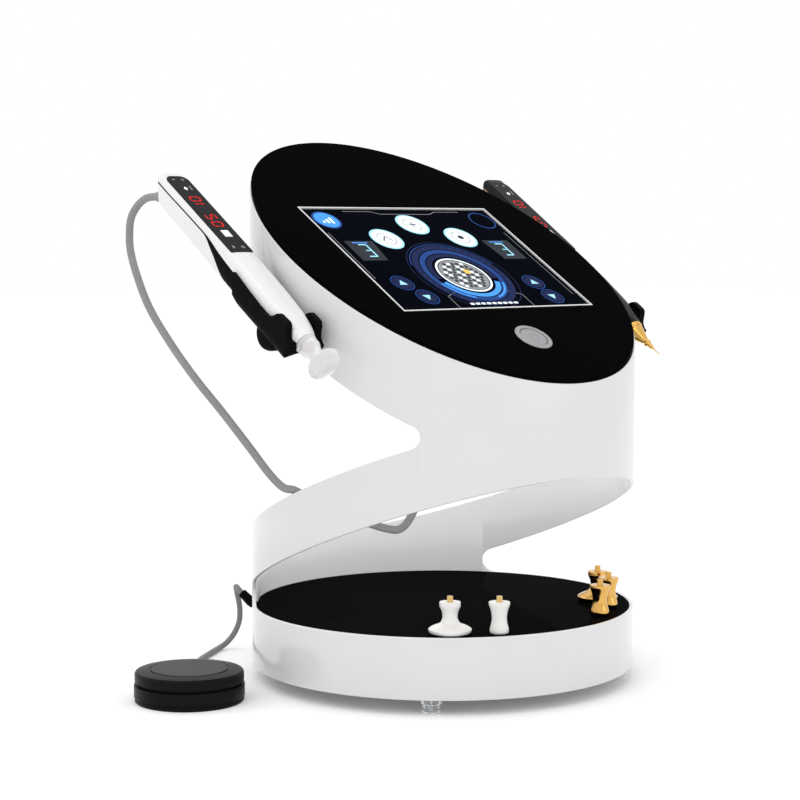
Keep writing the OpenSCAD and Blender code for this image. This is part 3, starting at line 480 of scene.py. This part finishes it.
# Closes the rear end with a fan of triangles about one point
def rearCap(rows, toward):
    last = rows[-1]
    middle = [(last[0, 0] + last[-1, 0]) / 2, float(rearShear(wand["length"], toward)), toward]
    i = np.arange(len(last) - 1)
    return np.vstack([last, middle]), np.column_stack([i, i + 1, np.full(len(i), len(last))])


wandSkins = {
    -1: dict(name="left", shell="whiteWand", grip="gripBlack", collar="frosted", gland="cordGrey",
        shellSlot="white_wand", gripSlot="grip_rubber", collarSlot="tip_white", glandSlot="cord_grey"),
    1: dict(name="right", shell="blackGloss", grip="bronze", collar="gold", gland="blackSatin",
        shellSlot="black_wand", gripSlot="bronze", collarSlot="gold", glandSlot="grip_rubber")}

for side, skin in wandSkins.items():
    place, who = inWand(side), skin["name"]
    body = who + "_wand"
    top = skinPatch(seamTop, lambda y, s: math.pi - seamTop(y, s), 61)
    makePiece(who + "TopShell", *joinParts([rowsMesh(top), rearCap(top, -3)]), skin["shell"], body,
        [who + "_top_shell"], skin["shellSlot"], place)
    low = skinPatch(lambda y, s: -math.pi - seamLow(y, s), seamLow, 61)
    low = low[(np.ptp(low[..., 0], 1) > 0.5) & (np.ptp(low[..., 2], 1) > 0.05)]
    makePiece(who + "LowerShell", *joinParts([rowsMesh(low), rearCap(low, -15)]), skin["shell"], body,
        [who + "_lower_shell"], skin["shellSlot"], place)
    grip = skinPatch(seamLow, seamTop, 25, groove=-0.25)
    makePiece(who + "Grip", *joinParts([rowsMesh(grip), rowsMesh(grip * [-1, 1, 1])]), skin["grip"], body,
        [who + "_grip"], skin["gripSlot"], place)
print("wand skins done")


# Thin raised marks on a plane: each has an outline, the height of its top and the number of its material
def flatPiece(name, shapes, materials, body, place, slot, thick=0.06):
    verts, faces, which, start = [], [], [], 0
    for outline, height, m in shapes:
        n = len(outline)
        i = np.arange(n)
        j = (i + 1) % n
        verts += [np.column_stack([outline, np.full(n, z)]) for z in (height - thick, height)]
        faces += [(start + n + i).tolist(), *(start + np.stack([i, j, n + j, n + i], -1)).tolist()]
        which += [m] * (n + 1)
        start += 2 * n
    return makePiece(name, np.vstack(verts), faces, materials, body, slot=slot, place=place, faceMaterials=which,
        weld=False)


# Points on a circle at given angles, and all the way round in even steps
def arcPoints(x, y, r, angles):
    return np.column_stack([x + r * np.cos(angles), y + r * np.sin(angles)])


def disc(x, y, r, steps=48):
    return arcPoints(x, y, r, np.arange(steps) * 2 * math.pi / steps)


# A ring, or part of one, as a row of four-cornered tiles
def ringParts(x, y, r1, r2, a1=0.0, a2=360.0, steps=48):
    a = np.radians(np.linspace(a1, a2, max(2, int(steps * (a2 - a1) / 360)) + 1))
    near, far = arcPoints(x, y, r1, a), arcPoints(x, y, r2, a)
    return np.stack([near[:-1], far[:-1], far[1:], near[1:]], 1)


# A rectangle about its middle
def box2(x, y, w, h):
    return np.array([x, y]) + np.array([[-1, -1], [1, -1], [1, 1], [-1, 1]]) * [w / 2, h / 2]


# A line of width w from a to b, as the rectangle half the width to each side of it
def stroke(a, b, w):
    a, b = np.array(a, float), np.array(b, float)
    d = (b - a) / np.linalg.norm(b - a)
    n = np.array([-d[1], d[0]]) * w / 2
    return np.array([a + n, a - n, b - n, b + n])


# A seven-segment figure, as strokes that stop short of each other
def figure(char, x, y, h, w, lit, gap=0.12):
    segments = {"0": "abcdef", "1": "bc", "5": "afgcd"}
    ends = dict(a=((0, h), (w, h)), b=((w, h), (w, h / 2)), c=((w, h / 2), (w, 0)), d=((0, 0), (w, 0)),
        e=((0, h / 2), (0, 0)), f=((0, h), (0, h / 2)), g=((0, h / 2), (w, h / 2)))
    pairs = [np.array(ends[s]) + [x, y] for s in segments[char]]
    return [stroke(p + (q - p) * gap, q - (q - p) * gap, lit) for p, q in pairs]


# Display window on each wand, with its figures, marks and key; a figure's size is height, width and line
window = dict(front=105.0, wide=21.3, long=112.0, frontR=1.2, rearR=7, top=0.22, thick=1.4, markTop=0.3,
    keyAt=131, keySize=(6.8, 8.8), keyTop=0.75, keyThick=3.6)
figures = dict(rows=(("10", 178.0), ("05", 151.5)), first=-9.5, pitch=10.5, low=-4.6, size=(9.4, 6.2, 1.25))
edgeX, rearY = window["wide"] / 2, window["front"] + window["long"]
frontR, rearR, frontY = window["frontR"], window["rearR"], window["front"]
quarter = np.radians(11.25 * np.arange(9))
windowOutline = np.vstack([arcPoints(x, y, r, math.radians(a) + quarter) for x, y, r, a in (
    (edgeX - frontR, frontY + frontR, frontR, -90), (edgeX - rearR, rearY - rearR, rearR, 0),
    (rearR - edgeX, rearY - rearR, rearR, 90), (frontR - edgeX, frontY + frontR, frontR, 180))])
diamond = np.array([[0, -1], [1, 0], [0, 1], [-1, 0]]) * [1.9, 2.6] + [0, 198]
windowMarks = [(diamond, 0)] + [(box2(*bar), 1) for bar in ((5.4, 199, 1.2, 6), (-4.4, 211.5, 2.6, 1.2),
    (4.4, 211.5, 2.6, 1.2), (4.4, 211.5, 1.1, 2.8), (-4.6, 112, 1.8, 3.4), (4.6, 112, 1.8, 3.4), (4.6, 112, 3.4, 1.2))]
for side, skin in wandSkins.items():
    who, place, body = skin["name"], inWand(side), skin["name"] + "_wand"
    lens = flatPiece(who + "Lens", [(windowOutline, window["top"], 0)], ["lensBlack"], body, place, "black_glass",
        window["thick"])
    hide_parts(who + "_window")
    lit = [s for chars, at in figures["rows"] for k, char in enumerate(chars)
        for s in figure(char, at + figures["first"] + k * figures["pitch"], figures["low"], *figures["size"])]
    flatPiece(who + "Figures", [(s, window["markTop"], 0) for s in lit], ["redLit"], body,
        place @ turned("Z", math.pi / 2), "black_glass")
    flatPiece(who + "Marks", [(q, window["markTop"], m) for q, m in windowMarks], ["whiteLit", "markGrey"], body,
        place, "black_glass")
    key = flatPiece(who + "Key", [(box2(0, window["keyAt"], *window["keySize"]), window["keyTop"], 0)], ["keyWhite"],
        who + "_wand_key", place, "key_white", window["keyThick"])
    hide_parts(who + "_key")
print("windows done")

# Tips: outlines of radius and height, each with a rim and a pin, whose metal may be its own
tipH, pinR = 25.0, 2.4
wandPin, trayPin = 7, 4.5  # how far the pin stands out of a tip on a wand, and on the tray


# The tip's straight rim from its lower edge, the step round the pin, and the pin
def tipRim(low, pin):
    return rounded([(8.3, low), (8.3, tipH), (pinR + 0.25, tipH), (pinR + 0.25, tipH - 0.4), (pinR, tipH - 0.4),
        (pinR, tipH + pin), (0, tipH + pin)], 0.45)


# A flat disc of radius r whose back narrows to a waist and widens to the rim, as a curve through its points
def discTip(r, pin):
    side = spline([(r - 3.4, 0), (r - 1, 0.9), (r - 0.15, 2.6), (r - 0.4, 4.0), (r - 3.4, 5.9), (8.2, 8.2),
        (6.35, 11.2), (5.95, 13.8), (6.4, 17.2), (8.2, 21.4), (8.3, 22.2)], 5)
    return np.vstack([[(0, 0)], side, tipRim(22.4, pin)])


# A slim foot with a waist, as a curve through its points
def slimTip(pin):
    side = spline([(5.8, 0), (6.9, 0.5), (7.5, 1.8), (7.4, 4.2), (6.5, 7.5), (5.95, 11), (6.0, 14), (6.7, 18.2),
        (8.2, 22.6), (8.3, 23.4)], 5)
    return np.vstack([[(0, 0)], side, tipRim(23.5, pin)])


# A turned tip; faces that lie inside the pin's radius and over the rim take the pin's metal
def tipPiece(name, outline, material, pin, body, node, slot, place):
    verts, faces = lathe(outline)
    heights, radii = verts[faces, 2].mean(1), np.hypot(verts[:, 0], verts[:, 1])[faces].max(1)
    isPin = (heights > tipH - 0.6) & (radii < pinR + 0.3)
    return makePiece(name, verts, faces, [material, pin], body, [node], slot, place, faceMaterials=isPin,
        weld=False, sharp=45)


# A tip's place standing on the tray, and its place on a wand's nose with its rim against the collar
def onTray(x, y):
    return moved(x, y, baseH)


def noseAt(side):
    return inWand(side) @ moved(0, -4.05, wand["noseZ"]) @ turned("X", -math.pi / 2) @ moved(0, 0, -tipH)


needle = np.vstack([[(0, -9), (0.3, -9), (0.55, 0)], spline([(1.4, 0.6), (1.9, 3), (2.3, 5.6), (3.2, 7),
    (3.2, 8.3), (2.5, 9.4), (3.4, 12), (5.2, 17), (6.9, 22), (7.4, 24), (7.4, tipH)], 5), [(0, tipH)]])
tips = [
    dict(name="leftDisc", outline=discTip(14, wandPin), material="frosted", pin="brass", body="left_wand_tip",
        node="left_tip", slot="tip_clear", place=noseAt(-1)),
    dict(name="rightNeedle", outline=needle, material="gold", pin="gold", body="right_wand_tip",
        node="right_tip", slot="gold", place=noseAt(1)),
    dict(name="whiteDisc", outline=discTip(17, trayPin), material="whiteCeramic", pin="brass", body="white_disc",
        node="white_disc_tip", slot="tip_white", place=onTray(-89, -109)),
    dict(name="whiteSlim", outline=slimTip(trayPin), material="whiteCeramic", pin="brass", body="white_slim",
        node="white_slim_tip", slot="tip_white", place=onTray(-60, -134)),
    dict(name="goldDisc", outline=discTip(17, trayPin), material="gold", pin="gold", body="gold_disc",
        node="gold_disc_tip", slot="gold", place=onTray(103, -82)),
    dict(name="goldFront", outline=slimTip(trayPin), material="gold", pin="gold", body="gold_front",
        node="gold_front_tip", slot="gold", place=onTray(55, -131)),
    dict(name="goldRear", outline=slimTip(trayPin), material="gold", pin="gold", body="gold_rear",
        node="gold_rear_tip", slot="gold", place=onTray(87, -110))]
for tip in tips:
    tipPiece(**tip)

# Feet under the base
feet = dict(ringR=146, drop=-12, angles=(45, 135, 225, 315), outline=rounded([(0, 4.6), (4.3, 4.6), (4.3, 0), (7.2, 0),
    (8.6, 1.6), (8.6, 3.2), (7.9, 3.9), (7.9, 7), (9.4, 7.8), (9.4, 12), (0, 12)], 0.4))
footVerts, footFaces = lathe(feet["outline"], 48)
footAt = arcPoints(0, 0, feet["ringR"], np.radians(feet["angles"]))
footParts = [(footVerts + [x, y, feet["drop"]], footFaces) for x, y in footAt]
makePiece("clearFeet", *joinParts(footParts), "clearFoot", replaces=["feet"], slot="clear_foot", weld=False)


# Ribs of a cord's gland: the radius shrinks a little with each point, and every second point stands out
def ribs(count, r, z, pitch, rise):
    k = np.arange(count)
    return np.column_stack([r - 0.08 * k + rise * (k % 2), z + pitch * k])


# Pedal: its floor, the cap that is pressed down, the pad on the cap and the cord's gland
pedal = dict(at=(-222, 53, -12), shellR=44.0, padR=30.5, seamZ=14.0, capZ=16.2, glandZ=4.5, glandR=40,
    glandTurn=math.radians(38))
shellR, padR, seamZ, capZ = (pedal[k] for k in ("shellR", "padR", "seamZ", "capZ"))
pedalPieces = [
    dict(name="pedalBottom", material="pedalBlack", body="root", node="pedal_base", slot="black_plastic",
        outline=rounded([(0, 0), (42.6, 0), (43.6, 1.2), (43.6, 2.4), (42.9, 3.0), (43.0, 3.6), (shellR, 4.4),
            (shellR, seamZ), (41.4, seamZ), (41.4, 4), (0, 4)], 0.5)),
    dict(name="pedalTop", material="pedalBlack", body="pedal_top", node="pedal_cap", slot="black_plastic",
        outline=rounded([(0, 10), (38, 10), (40.8, 10.2), (40.8, capZ), (43.4, capZ), (43.4, 23.0), (42.2, 24.6),
            (padR + 2, 25.7), (padR + 1, 25.2), (padR + 0.4, 24.9), (0, 24.9)], 0.7, 4)),
    dict(name="pedalPad", material="padGrey", body="pedal_top", node="pedal_pad", slot="pad_grey",
        outline=rounded([(0, 24.6), (padR, 24.6), (padR, 26.1), (padR - 1.5, 26.3), (0, 26.3)], 0.4))]
for p in pedalPieces:
    makePiece(p["name"], *lathe(p["outline"], 128), p["material"], p["body"], [p["node"]], p["slot"],
        moved(*pedal["at"]), weld=False)
glandOutline = rounded(np.vstack([[(0, 0), (4, 0), (4, 3)], ribs(9, 3.9, 4, 1.1, 0.25), [(3.4, 14), (2.6, 14)]]), 0.25)
makePiece("pedalGland", *lathe(glandOutline, 48), "blackSatin", slot="black_plastic", weld=False,
    place=moved(*pedal["at"]) @ moved(0, 0, pedal["glandZ"]) @ turned("Z", pedal["glandTurn"])
    @ moved(pedal["glandR"], 0, 0) @ turned("Y", math.pi / 2))

# Cord glands and collars of the wands
wandGland = rounded(np.vstack([[(0, -4), (3.3, -4), (5.1, 0), (5.3, 0.6), (5.3, 3)], ribs(11, 4.9, 4.2, 1.25, 0.3),
    [(4.2, 20), (3.4, 20), (3.4, 8)]]), 0.2)
collar = rounded([(9.1, -3), (9.1, -0.6), (8.5, -0.3), (8.5, 0.3), (8.9, 0.6), (8.7, 2.4), (8.1, 2.8), (8.0, 3.9),
    (2.6, 3.9), (2.6, 1)], 0.3)
rearEnd = wand["length"] + wand["glandZ"] * math.tan(rearTurn)
for side, skin in wandSkins.items():
    who, body = skin["name"], skin["name"] + "_wand"
    makePiece(who + "Gland", *lathe(wandGland, 64), skin["gland"], body, [who + "_gland"], skin["glandSlot"],
        inWand(side) @ moved(0, rearEnd, wand["glandZ"]) @ turned("X", -rearTurn) @ turned("X", -math.pi / 2),
        weld=False)
    makePiece(who + "Collar", *lathe(collar, 72), skin["collar"], body, [who + "_collar"], skin["collarSlot"],
        inWand(side) @ moved(0, 0, wand["noseZ"]) @ turned("X", math.pi / 2), weld=False)

# Power button: the ring, the cap in it and the sign on the cap
button = dict(drop=127.0, signZ=0.84,
    ring=[(12.1, -3), (12.1, 0.7), (12.6, 1.15), (14.6, 1.15), (15.9, 0.7), (16.2, 0.05), (15.8, -0.1), (14.2, -3)],
    cap=[(0, -3), (11.7, -3), (11.7, 0.1), (11.1, 0.6), (9.4, 0.72), (9.2, 0.5), (8.8, 0.5), (8.6, 0.72), (0, 0.78)])
buttonPlace = onPlate @ moved(0, -button["drop"], 0)
for name, outline, body, node in (("buttonRing", rounded(button["ring"], 0.35), "root", "button_ring"),
        ("buttonCap", rounded(button["cap"], 0.25), "power_key", "power_button")):
    makePiece(name, *lathe(outline, 96), "satinSilver", body, [node], "silver", buttonPlace, weld=False)
sign = [(q, button["signZ"], 0) for q in (*ringParts(0, 0, 4.0, 4.9, 120, 420), box2(0, 3.6, 0.9, 5.2))]
flatPiece("buttonSign", sign, ["markGrey"], "power_key", buttonPlace, "silver")
print("turned pieces done")

# Cradles: the rim's and the underside's heights along the wand, and the bosses that carry them
cradle = dict(wall=3.4, clearance=0.5, count=31, upright=6,
    rim=[[-2, -15], [2.6, -13.4], [5, -11.4], [6.6, -8.4], [8.2, -3.8], [9.8, -1.4], [12, -0.6], [20.5, -0.6],
        [22.8, -1], [24.5, -2.6], [27, -6], [30, -8.8], [34, -10.4], [39, -11], [60, -9.4], [88, -7]],
    under=[[-2, -15], [2, -28], [30, -31], [60, -31], [80, -23], [88, -7]],
    trough=[[-0.01, -26], [0.04, -25.6], [0.32, -25.6], [0.4, -25]], troughW=14, troughTop=6)
boss = dict(s=-43, drop=44, flatHalf=17.6, flatZ=-27.8,
    outline=[(0, 158), (11, 158), (14, 158.5), (14, 191.4), (12.4, 194.6), (0, 194.6)])


# Section of the cradle's outside: a squarish superellipse whose bottom follows the trough's line
def troughSection(y, grow):
    top, bottom = cradle["troughTop"], np.interp(y / wand["length"], *np.transpose(cradle["trough"]))
    return cradle["troughW"] + grow, (top + bottom) / 2, (top - bottom) / 2 + grow, 5


# One side of a section from the rim down to the underside: upright over the section's middle, then round it
def cradleSide(section, high, low):
    w, c, h, power = section
    k, tall = np.arange(cradle["count"]), high > c
    a = np.minimum(crossing(section, high), 0)
    b = np.minimum(np.where(low > c - h, crossing(section, low), -math.pi / 2), a)
    last = cradle["count"] - 1
    share = np.where(tall, np.maximum(k - cradle["upright"], 0) / (last - cradle["upright"]), k / last)
    x, z = sectionPoint(section, a + (b - a) * share)
    upright = tall & (k < cradle["upright"])
    return np.where(upright, w, x), np.where(upright, high + (c - high) * k / cradle["upright"], z)


# Both sides of a cradle: the outside and the inside joined at the rim and the underside, with closed ends
def cradleMesh():
    y = np.concatenate([np.linspace(-2, 24, 27), np.linspace(26, 88, 32)])[:, None]
    high, low = (np.interp(y, *np.transpose(cradle[k])) for k in ("rim", "under"))
    outX, outZ = cradleSide(troughSection(y, cradle["wall"]), high, low)
    inX, inZ = cradleSide(wandSection(y, cradle["clearance"]), high, low)
    x, z = np.hstack([outX, inX[:, ::-1]]), np.hstack([outZ, inZ[:, ::-1]])
    rows, n = x.shape
    k = np.arange(cradle["count"] - 1)
    end = np.column_stack([k, k + 1, n - 2 - k, n - 1 - k])
    faces = np.vstack([gridFaces(rows, n, wrapCols=True), end, end + (rows - 1) * n])
    return joinParts([(np.stack([way * x, y + 0 * x, z], -1).reshape(-1, 3), faces) for way in (1, -1)])


# A turned boss whose points within the trough's width are pressed flat under it
def bossMesh(side):
    verts, faces = lathe(rounded(boss["outline"], 1.2, 4), 96)
    verts = placed(verts, onPlate @ moved(0, boss["s"], -boss["drop"]) @ turned("Y", side * math.pi / 2))
    verts = placed(verts, np.linalg.inv(inWand(side)))
    verts[(np.abs(verts[:, 0]) < boss["flatHalf"]) & (verts[:, 2] > boss["flatZ"]), 2] = boss["flatZ"]
    return placed(verts, inWand(side)), faces


for side, skin in wandSkins.items():
    makePiece(skin["name"] + "Cradle", *cradleMesh(), "blackSatin", replaces=[skin["name"] + "_cradle"],
        slot="black_plastic", place=inWand(side), sharp=38)
makePiece("cradleBosses", *joinParts([bossMesh(side) for side in (-1, 1)]), "blackSatin", replaces=["cradle_bosses"],
    slot="black_plastic", weld=False)
print("cradles done")

# Screen picture: a plain generic control page, drawn in three thin layers round its large dial
screen = dict(drop=5.6, lift=-0.94, layer=0.08, dial=(-1, -27),
    inks=["blueLit", "blueMid", "blueDeep", "whiteLit", "slate", "markGrey", "mintLit", "amberLit"])
shapes = []


# Adds one outline, or a stack of them, on a layer of the picture in one of its inks
def draw(outlines, layer, ink):
    for q in np.reshape(outlines, (-1, *np.shape(outlines)[-2:])):
        shapes.append((q, layer * screen["layer"], screen["inks"].index(ink)))


# Strokes from each point to the next
def strokes(points, w):
    return [stroke(a, b, w) for a, b in zip(points[:-1], points[1:])]


dialX, dialY = screen["dial"]
for r1, r2, a1, a2, layer, ink in (
        (40, 46, 0, 360, 0, "blueDeep"), (34, 39, 0, 360, 0, "blueMid"), (28, 33, 200, 340, 0, "blueLit"),
        (28, 33, -10, 190, 0, "blueDeep"), (47, 48, 20, 160, 0, "blueMid"), (50, 50.8, 0, 360, 0, "blueDeep"),
        (35, 37, 200, 250, 1, "blueLit"), (35, 37, 290, 340, 1, "blueLit")):
    draw(ringParts(dialX, dialY, r1, r2, a1, a2, 72), layer, ink)
ticks = np.radians(10 * np.arange(36))
draw([stroke(a, b, 0.7) for a, b in zip(arcPoints(dialX, dialY, 41.5, ticks), arcPoints(dialX, dialY, 44.5, ticks))],
    1, "blueMid")
draw(ringParts(dialX, dialY, 23.5, 25.4), 1, "whiteLit")
draw(disc(dialX, dialY, 22.6), 0, "markGrey")
for i, j in ((i, j) for i in range(-4, 5) for j in range(-4, 5)):
    x, y = i * 4.8 + (j % 2) * 2.4, j * 4.2
    if math.hypot(x, y) < 20:
        draw(disc(dialX + x, dialY + y, 2.0, 6), 1, "slate" if (i + j) % 3 else "whiteLit")
draw(disc(dialX + 7, dialY + 5, 3.4, 16), 2, "amberLit")
for x, y in ((-43, 30), (2, 53), (41, 32)):
    draw(disc(x, y, 15.6), 0, "mintLit")
    draw(disc(x, y, 13.6), 1, "whiteLit")
    draw(ringParts(x, y, 8.4, 9), 2, "slate")
draw([box2(2, 53, 8, 1.2), box2(2, 53, 1.2, 8)], 2, "slate")
draw(strokes([(-48, 27), (-43, 34), (-38, 27)], 1.2), 2, "slate")
draw(disc(41, 32, 3), 2, "slate")
draw(disc(-86, 60, 13.4), 0, "blueMid")
draw(disc(-86, 60, 11.6), 1, "blueLit")
draw([box2(-86 + 4.4 * k, 58 + k, 2.4, 6 + 3 * k) for k in (-1, 0, 1)], 2, "whiteLit")
draw(ringParts(88, 60, 11.8, 13.2), 0, "blueMid")
for x in (-76, 76):
    leftIn, rightIn = (4, 0) if x > 0 else (0, 4)
    draw([(x + 15, 27), (x + 15 - rightIn, -3), (x - 15 + leftIn, -3), (x - 15, 27)], 0, "slate")
    draw(strokes([(x - 4, 21), (x + 4, 21), (x + 4, 12), (x - 2, 12), (x + 4, 12), (x + 4, 3), (x - 4, 3)], 1.6),
        2, "mintLit")
    draw(box2(x, 24.2, 16, 1.4), 1, "blueLit")
for x, y, way in ((-75, -37, 1), (-64, -58, -1), (68, -40, 1), (72, -62, -1)):
    draw(ringParts(x, y, 9.6, 10.6), 0, "blueMid")
    draw(disc(x, y, 8.6), 0, "blueDeep")
    draw([(x - 4, y - 2.6 * way), (x + 4, y - 2.6 * way), (x, y + 4.2 * way)][::way], 1, "mintLit")
draw([box2(dialX - 24 + 6 * k, -70, 4.2, 2.6) for k in range(9)], 2, "whiteLit")
for points, w in (([(-42, -76), (-42, -58), (-30, -52)], 0.6), ([(40, -76), (40, -58), (28, -52)], 0.6),
        ([(-60, 74), (-30, 74), (-22, 70), (34, 70), (42, 74), (70, 74)], 0.6), ([(-98, 40), (-98, -30)], 0.5),
        ([(98, 40), (98, -60)], 0.5)):
    draw(strokes(points, w), 0, "markGrey")
flatPiece("screenPicture", shapes, screen["inks"], "root", onPlate @ moved(0, -screen["drop"], screen["lift"]),
    "screen")
print("screen done", len(shapes))

# Finishes of the nodes that keep their solids
finishes = {
    "top_plate": "plateBlack", "screen_frame": "bezelBright", "touch_glass": "screenDark", "lcd_panel": "greyPlastic",
    "drum_floor": "whiteGloss", "drum_screws": "steel", "main_board": "board", "plasma_generator": "amber",
    "tray_disc": "trayBlack", "bottom_plate": "greyPlastic", "foot_screws": "steel", "power_supply": "steel",
    "power_inlet": "blackSatin", "pedal_socket": "blackSatin", "wand_sockets": "chrome", "link_cable": "whiteGloss",
    "power_switch": "blackSatin", "left_board": "board", "right_board": "board", "left_coil": "amber",
    "right_coil": "amber", "pedal_spring": "steel"}
for name, material in finishes.items():
    nodes[name].data.materials.clear()
    nodes[name].data.materials.append(mats[material])
print("finishes", len(finishes))

# Stage: a pale floor that glows a little where the camera, metal or glass sees it, and white air all round
stage = dict(half=9, z=-0.012, color=(0.9, 0.9, 0.9, 1), rough=0.7, glow=0.12, air=1.0)
floorMesh = bpy.data.meshes.new("floor")
floorMesh.from_pydata([(x * stage["half"], y * stage["half"], 0) for x, y in ((-1, -1), (1, -1), (1, 1), (-1, 1))], [],
    [(0, 1, 2, 3)])
floor = bpy.data.objects.new("floor", floorMesh)
floor.location = (0, 0, stage["z"])
scene.collection.objects.link(floor)
floorPale = bpy.data.materials.new("floorPale")
floorPale.use_nodes = True
floorNodes, floorLinks = floorPale.node_tree.nodes, floorPale.node_tree.links
floorShader = floorNodes["Principled BSDF"]
for socket, value in (("Base Color", stage["color"]), ("Emission Color", (1, 1, 1, 1)), ("Roughness", stage["rough"]),
        ("Specular IOR Level", 0.0)):
    floorShader.inputs[socket].default_value = value
ray, direct, seen, glow = (floorNodes.new("ShaderNode" + kind) for kind in ("LightPath", "Math", "Math", "Math"))
direct.operation, seen.operation, glow.operation = "MAXIMUM", "MAXIMUM", "MULTIPLY"
glow.inputs[1].default_value = stage["glow"]
for source, target in (
        (ray.outputs["Is Camera Ray"], direct.inputs[0]), (ray.outputs["Is Glossy Ray"], direct.inputs[1]),
        (direct.outputs[0], seen.inputs[0]), (ray.outputs["Is Transmission Ray"], seen.inputs[1]),
        (seen.outputs[0], glow.inputs[0]), (glow.outputs[0], floorShader.inputs["Emission Strength"])):
    floorLinks.new(source, target)
floorMesh.materials.append(floorPale)

world = bpy.data.worlds.new("studio")
scene.world = world
world.use_nodes = True
air = world.node_tree.nodes["Background"]
air.inputs["Color"].default_value = (1, 1, 1, 1)
air.inputs["Strength"].default_value = stage["air"]

# Four soft lamps round the object, all turned to one point, and a small light in its open middle
lampAim = (0, 0, 0.2)
lamps = [dict(name="key", at=(-1.6, -0.9, 1.7), power=5, size=1.2),
    dict(name="fill", at=(0.7, -2.0, 0.9), power=3, size=1.3), dict(name="rim", at=(-0.9, 1.6, 1.5), power=4, size=1.0),
    dict(name="over", at=(-0.3, -0.2, 2.4), power=4, size=1.4)]
middle = dict(name="inner", at=(-0.03, 0.0, 0.145), power=0.55, size=0.06)
for spec in lamps:
    light = bpy.data.lights.new(spec["name"], "AREA")
    light.energy, light.size = spec["power"], spec["size"]
    lamp = bpy.data.objects.new(spec["name"], light)
    lamp.location = spec["at"]
    lamp.rotation_mode = "QUATERNION"
    lamp.rotation_quaternion = (Vector(lampAim) - Vector(spec["at"])).to_track_quat("-Z", "Y")
    scene.collection.objects.link(lamp)
light = bpy.data.lights.new(middle["name"], "POINT")
light.energy, light.shadow_soft_size = middle["power"], middle["size"]
lamp = bpy.data.objects.new(middle["name"], light)
lamp.location = middle["at"]
lamp.visible_glossy = False
scene.collection.objects.link(lamp)
scene.view_settings.view_transform = "Standard"
print("stage and lamps done")
